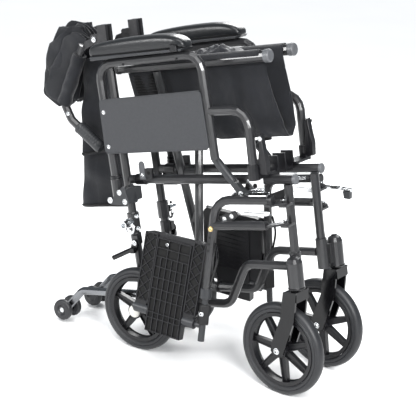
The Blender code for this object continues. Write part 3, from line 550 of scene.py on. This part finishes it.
def build_seat_sling():
    """The seat sling, folded down between the rails and pulled in where the braces pass it."""
    ridge = SEAT_RAIL_RADIUS + 0.0012
    rear = -0.1450
    front = 0.2080
    wide = [(SEAT_RAIL_OUT + ridge * math.cos(angle), ridge * math.sin(angle))
            for angle in (0.2, 0.9, 1.6, 2.5, 3.3)]
    wide += [(0.0365, -0.0200), (0.0380, -0.0500), (0.0340, -0.1000), (0.0270, -0.1480), (0.0130, -0.1700)]
    narrow = wide[:5] + [(0.0300, -0.0300), (0.0200, -0.0700), (0.0110, -0.1100), (0.0055, -0.1400),
                         (0.0030, -0.1560)]

    def half_path(points):
        """The section of the sling from one rail round to the other."""
        path = smooth_path([Vector((0, out, rise)) for out, rise in points], 5)
        return path + [Vector((0, -point.y, point.z)) for point in reversed(path)]

    wide_path = half_path(wide)
    narrow_path = half_path(narrow)

    def sling(u, v):
        """A point of the sling, u from rear to front and v from left to right."""
        place = v * (len(wide_path) - 1)
        index = min(int(place), len(wide_path) - 2)
        x = rear + u * (front - rear)
        open_share = max(0.0, min(1.0, (x - 0.010) / 0.055))
        share = place - index
        broad = wide_path[index].lerp(wide_path[index + 1], share)
        slim = narrow_path[index].lerp(narrow_path[index + 1], share)
        point = slim.lerp(broad, open_share * open_share * (3 - 2 * open_share))
        sag = max(0.0, min(1.0, (-point.z - 0.010) / 0.140))
        pull = 0.0022 * math.sin(x * 75 + point.z * 22) * sag
        wrinkle = crease((x, point.z * 0.35, math.copysign(0.4, point.y)), 0.0065, 34.0, 3.0) * sag + pull
        wrinkle += crease((x, point.z, 0.2), 0.0030, 80.0, 11.0) * sag
        tilt = 0.0150 * sag * max(0.0, u - 0.55) / 0.45
        out = math.copysign(max(0.0006, abs(point.y) + wrinkle * open_share), point.y)
        if point.y > 0:
            out -= 0.004 * sag
        return Vector((x + tilt - 0.010 * (u > 0.98) * (1 - sag), out, rail_height(x) + point.z))

    cloth = surface("seat_sling", sling, 90, 110, LOOKS["nylon_fabric"], None)
    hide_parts("seat_fabric_l", "seat_fabric_r")
    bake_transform(cloth)


def build_seat_crumple():
    """The slack top layer of the seat, crumpled up between the rails."""
    def layer(u, v):
        """A point of the crumpled layer, u forward and v across."""
        x = -0.0250 + 0.1700 * u
        across = 2 * v - 1
        arch = (1 - across * across) * math.sin(math.pi * min(1.0, 0.06 + u)) ** 0.6
        height = -0.004 + 0.0260 * arch
        height += crease((x, across * 0.02, 0.1), 0.0130, 45.0, 4.0) * arch
        height += crease((x, across * 0.03, 0.5), 0.0060, 100.0, 8.0) * arch
        return Vector((x, 0.0060 - 0.0340 * across, rail_height(x) + height))

    # The crumpled layer takes the lighter copy of the seat nylon, painted lighter as a highlight on the hump.
    layer_cloth = surface("seat_crumple", layer, 70, 36, LIT_SEAT_NYLON, "brace_pair_a")
    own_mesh(layer_cloth)


def build_seat_trim(side, body):
    """The caps of a seat rail and the ribbed webbing under it."""
    tag = TAGS[side]
    along = Vector((SEAT_RAIL_FRONT[0] - SEAT_RAIL_REAR[0], 0,
                    SEAT_RAIL_FRONT[1] - SEAT_RAIL_REAR[1])).normalized()
    end = spot(SEAT_RAIL_FRONT[0], SEAT_RAIL_OUT, SEAT_RAIL_FRONT[1], side)
    ring(f"seat_rail_cap_{tag}", end - along * 0.011, end + along * 0.0035, 0.0, 0.0136, PALE_PLASTIC, body,
         0.002)
    end = spot(SEAT_RAIL_REAR[0], SEAT_RAIL_OUT, SEAT_RAIL_REAR[1], side)
    ring(f"seat_rail_rear_cap_{tag}", end - along * 0.001, end + along * 0.010, 0.0, 0.0134,
         LOOKS["black_plastic"], body, 0.002)

    def webbing(u, v):
        """A point of the webbing, u forward and v down from the rail."""
        x = -0.1350 + 0.0700 * u
        drop = 0.0200 + 0.0560 * v
        rib = 0.0012 * abs(math.sin(v * 9 * math.pi))
        return spot(x, 0.0350 - drop * 0.20 + rib + 0.0012 * math.sin(u * 11), rail_height(x) - drop, side)

    strap = surface(f"seat_webbing_{tag}", webbing, 24, 90, WEBBING, body, 0.0016)


# Back

def build_back(side):
    """One half of the folded back cloth on its cane, and the sleeve that holds it there."""
    tag = TAGS[side]
    body = f"{WORDS[side]}_cane"
    inner = smooth_path([(-0.2420, 0, 0.7580), (-0.2760, 0, 0.7050), (-0.3040, 0, 0.6560),
                         (-0.3180, 0, 0.6240)], 8)
    outer = smooth_path([(-0.2800, 0, 0.7930), (-0.3300, 0, 0.7860), (-0.3760, 0, 0.7400),
                         (-0.3950, 0, 0.6900), (-0.4040, 0, 0.6500), (-0.3560, 0, 0.6170)], 8)

    def along(path, share):
        """The point a share of the way along a path."""
        place = share * (len(path) - 1)
        index = min(int(place), len(path) - 2)
        return path[index].lerp(path[index + 1], place - index)

    def fold(u, v):
        """A point of the cloth, u down along the cane and v through three folds."""
        deep = (0.5 - 0.5 * math.cos(2 * math.pi * 3 * v)) ** 0.8
        layer = int(min(2, v * 3))
        lobe = (0.74, 0.92, 1.0)[layer] - 0.10 * math.sin(u * 5.2 + layer * 1.9)
        point = along(inner, u).lerp(along(outer, u), deep * lobe)
        out = 0.0400 * (1 - v) + 0.0006 + 0.0030 * math.sin(u * 9 + v * 11) * deep
        slack = crease((u * 0.5, v * 1.1, 0.1 * side), 0.022, 7.0, 2.0 + side) * deep
        sharp = abs(crease((u * 0.8, v * 0.7, 0.4 * side), 0.018, 6.0, 6.0 + side)) * deep
        return Vector((point.x + slack + sharp * 0.6, side * (out + sharp * 0.5),
                       point.z + slack * 0.7 - sharp))

    cloth = surface(f"back_cloth_{tag}", fold, 40, 80, LOOKS["nylon_fabric"], body)
    if side == RIGHT:
        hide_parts("back_upholstery")

    start = spot(CANE_LINE[0][0] - 0.012, FRAME_OUT, CANE_LINE[0][1] - 0.020, side)
    end = spot(CANE_LINE[1][0], FRAME_OUT, CANE_LINE[1][1], side)
    solid = bmesh.new()
    span = end - start
    rings = []
    across = Vector((0, 1, 0))
    upward = span.normalized().cross(across)
    for step in range(25):
        share = step / 24
        swell = 0.0150 + 0.0012 * math.sin(share * 14.0) * share
        centre = start + span * share
        loop = []
        for turn in range(18):
            angle = 2 * math.pi * turn / 18
            loose = 0.0022 * noise.noise(Vector((share * 6, math.cos(angle), math.sin(angle))))
            loop.append(centre + (across * math.cos(angle) + upward * math.sin(angle)) * (swell + loose))
        rings.append(loop)
    skin(solid, rings)
    sleeve = piece(f"back_sleeve_{tag}", solid, LOOKS["nylon_fabric"], body, 60.0)


def build_back_pocket():
    """The hanging pocket panel: an upper flap with a hem over a longer lower flap."""
    def lower(u, v):
        """A point of the lower flap, u forward and v down."""
        x = -0.3300 + 0.1300 * u - 0.0080 * v
        z = 0.5250 - 0.1480 * v + 0.020 * u * (1 - v)
        out = 0.0100 + 0.0030 * math.sin(u * 5) + crease((x, z, 0.3), 0.0070, 24.0, 4.0)
        return Vector((x + 0.020 * (1 - v) * (1 - u), -out, z))

    def upper(u, v):
        """A point of the upper flap, u forward and v down."""
        x = -0.3050 + 0.1150 * u + 0.0350 * (1 - v) * (1 - u)
        z = 0.7250 - 0.2150 * v - 0.012 * (1 - u)
        out = 0.0240 + 0.0040 * math.sin(u * 6 + v * 2) + crease((x, z, 0.9), 0.0100, 20.0, 9.0)
        return Vector((x, -out, z))

    low = surface("back_pocket_lower", lower, 36, 36, LOOKS["nylon_fabric"], "right_frame")
    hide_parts("back_pocket")
    high = surface("back_pocket_flap", upper, 36, 28, LOOKS["nylon_fabric"], "right_frame")
    for made, place_of, name in ((low, lower, "back_pocket_hem"), (high, upper, "back_flap_hem")):
        solid = bmesh.new()
        path = [place_of(step / 24, 0.985) for step in range(25)]
        swept(solid, path, [(0.0018, 0.0045), (-0.0018, 0.0045), (-0.0018, -0.0045), (0.0018, -0.0045)])
        hem = piece(name, solid, WEBBING, "right_frame", bevel=0.0006)


# Frame fittings

def build_frame_trim(side):
    """Caps, collars, bolts and brackets on the side frame."""
    tag = TAGS[side]
    body = "right_frame" if side == RIGHT else "left_frame"
    outward = Vector((0, side, 0))
    front = spot(TOP_RAIL[1][0], FRAME_OUT, TOP_RAIL[1][1], side)
    ring(f"top_rail_cap_{tag}", front - Vector((0.004, 0, 0)), front + Vector((0.004, 0, 0)), 0, 0.0107,
         PALE_PLASTIC, body, 0.002)
    rear = spot(TOP_RAIL[0][0] + 0.016, FRAME_OUT, TOP_RAIL[0][1], side)
    ring(f"top_rail_collar_{tag}", rear, rear + Vector((0.026, 0, 0)), 0.0095, 0.0122, LOOKS["black_plastic"],
         body)
    for number, (x, z, radius) in enumerate(((-0.1690, 0.4180, 0.0050), (-0.1420, 0.4350, 0.0046),
                                             (-0.1300, 0.4150, 0.0046))):
        bolt(f"arm_bracket_bolt_{tag}_{number}", spot(x, 0.1226, z, side), outward, radius, 0.0042, STEEL,
             body)
    tab = [(-0.1230, 0.4520), (-0.1080, 0.4520), (-0.1080, 0.4860), (-0.1120, 0.4920), (-0.1190, 0.4920),
           (-0.1230, 0.4860)]
    plate(f"rail_tab_{tag}", tab, 0.0660, 0.0690, side, PALE_PLASTIC, body)
    bolt(f"rail_tab_bolt_{tag}", spot(-0.1155, 0.0690, 0.4620, side), outward, 0.0036, 0.0030, STEEL, body)
    box(f"rail_block_{tag}", (-0.1020, 0.0670, 0.4560), (-0.0850, 0.0760, 0.4780), side,
        LOOKS["black_plastic"], body)
    # A flat near-black disc of painted shade on the block, standing for the shade inside its hole.
    ring(f"rail_block_hole_shade_{tag}", spot(-0.0935, 0.0756, 0.4680, side), spot(-0.0935, 0.0766, 0.4680, side),
         0, 0.0040, HOLE_SHADE, body, 0.0002)
    ring(f"arm_socket_{tag}", spot(-0.1560, ARM_OUT, 0.4630, side), spot(-0.1562, ARM_OUT, 0.4700, side),
         0.0096, 0.0126, LOOKS["black_plastic"], body)
    post = spot(-0.1625, FRAME_OUT, 0.3440, side)
    ring(f"receiver_washer_{tag}", post + outward * 0.0180, post + outward * 0.0205, 0.0090, 0.0140, STEEL,
         body)
    for number, z in enumerate((0.3430, 0.3700)):
        bolt(f"receiver_bolt_{tag}_{number}", spot(-0.1470, FRAME_OUT + 0.0095, z, side), (0.5, side, 0),
             0.0034, 0.0034, STEEL, body)
    bolt(f"brake_bolt_{tag}", spot(-0.1540, 0.0772, 0.3120, side), outward, 0.0044, 0.0036, STEEL,
         f"{WORDS[side]}_rear_brake")
    bolt(f"hinge_bolt_{tag}", spot(CANE_PIVOT[0], FRAME_OUT + 0.0086, CANE_PIVOT[1], side), outward, 0.0046,
         0.0032, STEEL, body)
    # The two lock plate bolt heads are coloured with the near-black painted hole shade.
    for number, x in enumerate((0.1480, 0.1660)):
        bolt(f"lock_plate_bolt_{tag}_{number}", spot(x, 0.0702, 0.4400, side), outward, 0.0036, 0.0028,
             HOLE_SHADE, body)
    bolt(f"lock_bolt_{tag}", spot(0.1440, 0.0930, 0.4280, side), outward, 0.0044, 0.0028, STEEL, body)
    plate(f"lock_arm_{tag}", [(0.1560, 0.4190), (0.2020, 0.4220), (0.2020, 0.4290), (0.1560, 0.4280)], 0.0760,
          0.0785, side, LOOKS["chrome"], body)
    for number, z in enumerate((0.4130, 0.3710)):
        start = spot(0.2352, 0.0820, z, side)
        ring(f"hanger_pin_cap_{tag}_{number}", start, start + Vector((0, 0, 0.0030)), 0, 0.0054, STEEL, body)
    dome = spot(CASTER_STEM[0], CASTER_STEM[1], 0.2990, side)
    ring(f"housing_cap_{tag}", dome, dome + Vector((0, 0, 0.0022)), 0, 0.0062, LOOKS["black_plastic"], body,
         0.0008)
    low = spot(CASTER_STEM[0], CASTER_STEM[1], 0.2320, side)
    ring(f"housing_lip_{tag}", low, low + Vector((0, 0, 0.0040)), 0.0100, 0.0178, LOOKS["black_paint"], body)
    bolt(f"saddle_bolt_{tag}", spot(0.1780, 0.0512, 0.4790, side), outward, 0.0040, 0.0034, STEEL, body)
    latch = [(0.2000, 0.4700), (0.2170, 0.4700), (0.2190, 0.4980), (0.2150, 0.5220), (0.2120, 0.5500),
             (0.2080, 0.5500), (0.2040, 0.5200), (0.2000, 0.4980)]
    plate(f"latch_body_{tag}", latch, 0.0900, 0.1055, side, LOOKS["black_plastic"],
          f"{WORDS[side]}_arm_latch", 0.0012)
    shine = spot(0.2100, 0.1055, 0.5430, side)
    bolt(f"latch_tip_{tag}", shine, outward, 0.0036, 0.0024, STEEL, f"{WORDS[side]}_arm_latch")


def build_lock_grip(side):
    """The long rounded grip of the wheel lock, with a pale ring near its end."""
    tag = TAGS[side]
    body = f"{WORDS[side]}_wheel_lock"
    knee = spot(0.1250, 0.0850, 0.4500, side)
    tip = spot(0.0830, 0.0850, 0.5040, side)
    along = (tip - knee).normalized()
    length = (tip - knee).length
    profile = [(0, 0.002), (0.0072, 0.002), (0.0086, 0.008), (0.0092, length * 0.6), (0.0090, length - 0.008),
               (0.0070, length - 0.001), (0.0030, length + 0.002), (0, length + 0.0025)]
    solid = bmesh.new()
    turned(solid, profile, knee, along, 28)
    piece(f"lock_grip_{tag}", solid, LOOKS["grey_plastic"], body)
    ring(f"lock_grip_end_{tag}", tip - along * 0.008, tip - along * 0.0066, 0.0080, 0.0096, PALE_PLASTIC,
         body, 0.0003)


def build_push_grip(side):
    """A ribbed push grip, in place of the plain one, and the bolt of its cane."""
    tag = TAGS[side]
    body = f"{WORDS[side]}_cane"
    start = spot(GRIP_LINE[0][0], FRAME_OUT, GRIP_LINE[0][1], side)
    tip = spot(GRIP_LINE[1][0], FRAME_OUT, GRIP_LINE[1][1], side)
    along = (tip - start).normalized()
    length = (tip - start).length
    profile = [(0, -0.001), (0.0118, -0.001), (0.0142, 0.002), (0.0142, 0.007)]
    for number in range(9):
        reach = 0.009 + number * (length - 0.018) / 9
        profile += [(0.0132, reach), (0.0140, reach + 0.002), (0.0140, reach + 0.0035)]
    profile += [(0.0140, length - 0.004), (0.0110, length), (0, length + 0.001)]
    solid = bmesh.new()
    turned(solid, profile, start, along, 36)
    grip = piece(f"push_grip_ribbed_{tag}", solid, LOOKS["grey_plastic"], body)
    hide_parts(f"push_grip_{tag}")
    knuckle = spot(CANE_LINE[1][0], FRAME_OUT, CANE_LINE[1][1], side)
    centre = knuckle.lerp(start, 0.42)
    bolt(f"cane_bolt_{tag}", centre + Vector((0, side * 0.0095, 0)), (0, side, 0), 0.0036, 0.0026, STEEL,
         body)


def build_brace_trim():
    """The bushes at the feet of the braces, and a gusset."""
    for side, body in ((RIGHT, "brace_pair_a"), (LEFT, "brace_pair_b")):
        tag = TAGS[side]
        x = -0.0150 if side == RIGHT else -0.0590
        low = spot(x - 0.024, FRAME_OUT, 0.1800, side)
        high = spot(x + 0.024, FRAME_OUT, 0.1800, side)
        for number, start in enumerate((low, high)):
            ring(f"brace_bush_{tag}_{number}", start - Vector((0.0022, 0, 0)), start + Vector((0.0022, 0, 0)),
                 0.0102, 0.0132, LOOKS["black_plastic"], body, 0.0006)
    outline = [(-0.0380, 0.3480), (-0.0240, 0.3440), (-0.0150, 0.3500), (-0.0150, 0.3640), (-0.0300, 0.3680)]
    plate("brace_gusset", outline, 0.0130, 0.0160, RIGHT, LOOKS["brace_paint"], "brace_pair_a")


# Hangers and footplates

def build_hanger_trim(side):
    """The button, holes drawn as dots of painted shade, clamp, tongue and latch bar of a hanger."""
    tag = TAGS[side]
    body = f"{WORDS[side]}_hanger"
    outward = Vector((0, side, 0))
    elbow = spot(HANGER_ELBOW[0], HANGER_OUT, HANGER_ELBOW[1], side)
    end = spot(HANGER_END[0], HANGER_END[1], HANGER_END[2], side)
    down = (end - elbow).normalized()
    face = (outward - down * outward.dot(down)).normalized()
    bolt(f"hanger_button_{tag}", elbow + down * 0.060 + face * 0.0092, face, 0.0042, 0.0032, BRASS, body,
         False)
    # Three flat near-black dots of painted shade, standing for the shade inside the holes of the hanger tube.
    for number in range(3):
        centre = elbow + down * (0.078 + 0.014 * number) + face * 0.0090
        ring(f"hanger_hole_shade_{tag}_{number}", centre, centre + face * 0.0010, 0, 0.0024, HOLE_SHADE, body, 0.0001)
    clamp = end - down * 0.024
    ring(f"hanger_clamp_{tag}", clamp, clamp + down * 0.022, 0.0094, 0.0124, LOOKS["grey_plastic"], body)
    plug = spot(0.2215, HANGER_OUT, 0.4185, side)
    ring(f"hanger_plug_{tag}", plug - Vector((0.007, 0, 0)), plug + Vector((0.0035, 0, 0)), 0, 0.0106,
         LOOKS["black_plastic"], body, 0.0015)
    bar = [(0.1450, 0.4000), (0.2150, 0.3960), (0.2170, 0.3890), (0.2080, 0.3860), (0.1500, 0.3880),
           (0.1430, 0.3930)]
    plate(f"latch_bar_{tag}", bar, 0.1060, 0.1098, side, LOOKS["chrome"], body)
    # A thin near-black strip of painted shade on the latch bar, standing for the shade in its slot.
    slot = [(0.1560, 0.3950), (0.2040, 0.3922), (0.2040, 0.3908), (0.1560, 0.3936)]
    plate(f"latch_slot_shade_{tag}", slot, 0.1096, 0.1100, side, HOLE_SHADE, body, 0.0001)
    bracket = [(0.0960, 0.3840), (0.1330, 0.3960), (0.1400, 0.3860), (0.1200, 0.3700), (0.1000, 0.3680)]
    plate(f"latch_bracket_{tag}", bracket, 0.1030, 0.1090, side, LOOKS["black_plastic"], body)
    for number, (x, z) in enumerate(((0.1080, 0.3790), (0.1260, 0.3850))):
        bolt(f"latch_bolt_{tag}_{number}", spot(x, 0.1090, z, side), outward, 0.0036, 0.0030, STEEL, body)
    tongue = [(0.0960, 0.3640), (0.1250, 0.3690), (0.1270, 0.3640), (0.1000, 0.3560)]
    plate(f"latch_tongue_{tag}", tongue, 0.1050, 0.1120, side, LOOKS["chrome"], body)
    if side == LEFT:
        build_release_handle(tag, side, body)
    thin = [elbow + down * 0.090 + Vector((0.010, side * 0.002, 0)),
            elbow + down * 0.110 + Vector((0.016, 0, 0)),
            elbow + down * 0.135 + Vector((0.018, 0, 0)), end - down * 0.030 + Vector((0.008, 0, 0))]
    tube(f"release_rod_{tag}", thin, 0.0026, LOOKS["black_paint"], body)

    slider = f"{WORDS[side]}_extension"
    block = end + down * 0.010
    solid = bmesh.new()
    swept(solid, [block, block + down * 0.044], [(0.0105, 0.0095), (-0.0105, 0.0095), (-0.0105, -0.0095),
                                                (0.0105, -0.0095)])
    piece(f"extension_block_{tag}", solid, RUBBER, slider, bevel=0.0030)
    bolt(f"extension_bolt_{tag}", block + down * 0.020 + face * 0.0100, face, 0.0044, 0.0034, STEEL, slider)


def build_release_handle(tag, side, body):
    """The hanger's release handle, sticking out in front: an arm, a bright roller and a grey thumb pad."""
    arm = [(0.2280, 0.4060), (0.2700, 0.4030), (0.2700, 0.3960), (0.2280, 0.3980)]
    plate(f"release_arm_{tag}", arm, 0.0980, 0.1010, side, LOOKS["chrome"], body)
    ring(f"release_roller_{tag}", spot(0.2650, 0.0990, 0.4000, side), spot(0.2980, 0.0960, 0.3960, side), 0,
         0.0052, STEEL, body)
    ring(f"release_pin_{tag}", spot(0.2720, 0.0910, 0.3990, side), spot(0.2720, 0.1090, 0.3990, side), 0,
         0.0036, LOOKS["chrome"], body, 0.0006)
    pad = [(0.2780, 0.3940), (0.2960, 0.3920), (0.2940, 0.3760), (0.2800, 0.3780)]
    plate(f"release_pad_{tag}", pad, 0.0900, 0.1030, side, LOOKS["grey_plastic"], body, 0.0020)


def build_footplate_ribs(side):
    """The moulded underside of a footplate, its tread, its sleeves and its eye.

    Both wings carry a diamond lattice, and long ribs and cross ribs fill the middle.
    """
    tag = TAGS[side]
    body = f"{WORDS[side]}_footplate"
    centre = Vector(PLATE_CENTRE)
    along = Vector((math.cos(PLATE_PITCH), 0, -math.sin(PLATE_PITCH)))
    straight_up = Vector((math.sin(PLATE_PITCH), 0, math.cos(PLATE_PITCH)))
    inward = Vector((0, -1, 0))
    upward = straight_up * math.cos(PLATE_TILT) + inward * math.sin(PLATE_TILT)
    outward = straight_up * math.sin(PLATE_TILT) - inward * math.cos(PLATE_TILT)

    def point(h, v, lift):
        """A point on the plate, h along it, v up it and lift above its middle."""
        place = centre + along * h + upward * v + outward * lift
        return Vector((place.x, side * place.y, place.z))

    solid = bmesh.new()

    def rib(start, end, wide, low, high):
        """A straight rib between two (h, v) points."""
        direction = Vector(end) - Vector(start)
        across = Vector((-direction.y, direction.x)).normalized() * wide / 2
        corners = [Vector(start) - across, Vector(end) - across, Vector(end) + across, Vector(start) + across]
        skin(solid, [[point(h, v, lift) for h, v in corners] for lift in (low, high)])

    def clipped(start, end, low, high):
        """The part of a line that lies in a rectangle, or None."""
        direction = (end[0] - start[0], end[1] - start[1])
        near, far = 0.0, 1.0
        for index in range(2):
            if abs(direction[index]) < 0.000001:
                if not low[index] <= start[index] <= high[index]:
                    return None
                continue
            first = (low[index] - start[index]) / direction[index]
            second = (high[index] - start[index]) / direction[index]
            near = max(near, min(first, second))
            far = min(far, max(first, second))
        if far - near < 0.02:
            return None
        return [(start[0] + direction[0] * share, start[1] + direction[1] * share) for share in (near, far)]

    diamond_pitch = 0.0235
    surface_low = 0.0062
    surface_high = 0.0100
    for low, high in (((-0.0760, 0.0170), (-0.0460, 0.1660)), ((0.0460, 0.0170), (0.0735, 0.1700))):
        for number in range(-8, 20):
            base = low[1] + number * diamond_pitch
            for rise in (1, -1):
                if rise == 1:
                    line = clipped((low[0], base), (high[0], base + (high[0] - low[0])), low, high)
                else:
                    line = clipped((low[0], base), (high[0], base - (high[0] - low[0])), low, high)
                if line:
                    rib(line[0], line[1], 0.0020, surface_low, surface_high - 0.0006)
        frame_lines = [(low, (high[0], low[1])), ((high[0], low[1]), high), (high, (low[0], high[1])),
                       ((low[0], high[1]), low)]
        for start, end in frame_lines:
            rib(start, end, 0.0026, surface_low, surface_high)
    rib_pitch = 0.01367
    for number in range(7):
        h = -0.0410 + number * rib_pitch
        top = 0.1590 if number % 2 == 0 else 0.1200
        rib((h, -0.0410), (h, top), 0.0021, 0.0086, 0.0124)
    for v in (-0.0410, -0.0120, 0.0000, 0.0300, 0.0520, 0.0760, 0.0990, 0.1210, 0.1400, 0.1600):
        rib((-0.0420, v), (0.0420, v), 0.0020, 0.0086, 0.0120)
    piece(f"footplate_ribs_{tag}", solid, LOOKS["black_plastic"], body)

    # A near-black sheet of painted shade at the bottom of the cells between the ribs, standing for the shade in
    # them.
    cell_shade_sheet = bmesh.new()
    for low, high, lift in (((-0.0425, -0.0415), (0.0425, 0.1585), 0.0087),
                            ((-0.0765, 0.0165), (-0.0455, 0.1665), 0.0067),
                            ((0.0455, 0.0165), (0.0735, 0.1705), 0.0067)):
        corners = [(low[0], low[1]), (high[0], low[1]), (high[0], high[1]), (low[0], high[1])]
        skin(cell_shade_sheet, [[point(h, v, height) for h, v in corners] for height in (lift - 0.0003, lift)])
    piece(f"footplate_cell_shade_{tag}", cell_shade_sheet, HOLE_SHADE, body)
    eye = point(-0.0180, 0.1500, 0.0105)
    away = (point(0, 0, 1) - point(0, 0, 0)).normalized()
    ring(f"footplate_eye_{tag}", eye, eye + away * 0.0020, 0.0016, 0.0036, STEEL, body, 0.0004)
    grip = bmesh.new()
    for number in range(12):
        v = 0.0300 + number * 0.0110
        lines = ((-0.0380, v), (0.0380, v))
        across = 0.0011
        corners = [(lines[0][0], v - across), (lines[1][0], v - across), (lines[1][0], v + across),
                   (lines[0][0], v + across)]
        skin(grip, [[point(h, w, lift) for h, w in corners] for lift in (-0.0084, -0.0098)])
    piece(f"footplate_tread_{tag}", grip, LOOKS["black_plastic"], body)
    for start, end in ((-0.0800, -0.0440), (0.0440, 0.0720)):
        name = f"footplate_sleeve_{tag}_{'rear' if start < 0 else 'front'}"
        ring(name, point(start, 0, 0), point(end, 0, 0), 0.0066, 0.0118, LOOKS["grey_plastic"], body)


def build_stage():
    """A pale floor, soft lights and the camera."""
    scene = bpy.context.scene
    solid = bmesh.new()
    edges = [[Vector((-FLOOR_REACH, y, 0)), Vector((FLOOR_REACH, y, 0))] for y in (-FLOOR_REACH, FLOOR_REACH)]
    skin(solid, edges, False, False)
    mesh = bpy.data.meshes.new("floor")
    solid.to_mesh(mesh)
    solid.free()
    mesh.materials.append(finish("floor_look", (0.86, 0.86, 0.86), 0.75, 0.0, 0.01, 2.0, 40.0, 0.01))
    floor = bpy.data.objects.new("floor", mesh)
    scene.collection.objects.link(floor)

    world = bpy.data.worlds.new("studio")
    world.use_nodes = True
    world.node_tree.nodes["Background"].inputs["Color"].default_value = (0.84, 0.92, 1.0, 1)
    world.node_tree.nodes["Background"].inputs["Strength"].default_value = 0.30
    scene.world = world
    sun = bpy.data.lights.new("overhead", "SUN")
    sun.energy = 3.1
    sun.angle = math.radians(50)
    lamp = bpy.data.objects.new("overhead", sun)
    lamp.rotation_euler = (math.radians(22), math.radians(14), 0)
    scene.collection.objects.link(lamp)
    lights = [("key", (1.9, -1.6, 1.5), 0.8, 80.0), ("fill", (-1.5, -2.4, 1.3), 0.7, 50.0),
              ("rim", (-0.6, 1.9, 1.8), 1.2, 60.0)]
    for name, place, size, power in lights:
        data = bpy.data.lights.new(name, "AREA")
        data.size = size
        data.energy = power
        lamp = bpy.data.objects.new(name, data)
        lamp.location = place
        aim = Vector((0, 0, 0.35)) - Vector(place)
        lamp.rotation_euler = aim.to_track_quat("-Z", "Y").to_euler()
        scene.collection.objects.link(lamp)

    data = bpy.data.cameras.new("camera")
    data.lens = CAMERA_LENS
    data.sensor_width = 36.0
    camera = bpy.data.objects.new("camera", data)
    aim = Vector(CAMERA_TARGET) - Vector(CAMERA_PLACE)
    looking = aim.to_track_quat("-Z", "Y").to_matrix().to_4x4()
    camera.matrix_world = Matrix.Translation(CAMERA_PLACE) @ looking @ Matrix.Rotation(CAMERA_ROLL, 4, "Z")
    scene.collection.objects.link(camera)
    scene.camera = camera
    scene.view_settings.view_transform = "Standard"


build_stage()
use_better_materials()
for side in (RIGHT, LEFT):
    build_wheels(side)
    build_arm_pad(side)
    build_side_panel_trim(side)
    build_back(side)
    build_frame_trim(side)
    build_lock_grip(side)
    build_push_grip(side)
    build_hanger_trim(side)
    build_footplate_ribs(side)
build_seat_sling()
build_seat_crumple()
build_seat_trim(RIGHT, "brace_pair_b")
build_seat_trim(LEFT, "brace_pair_a")
build_back_pocket()
build_brace_trim()
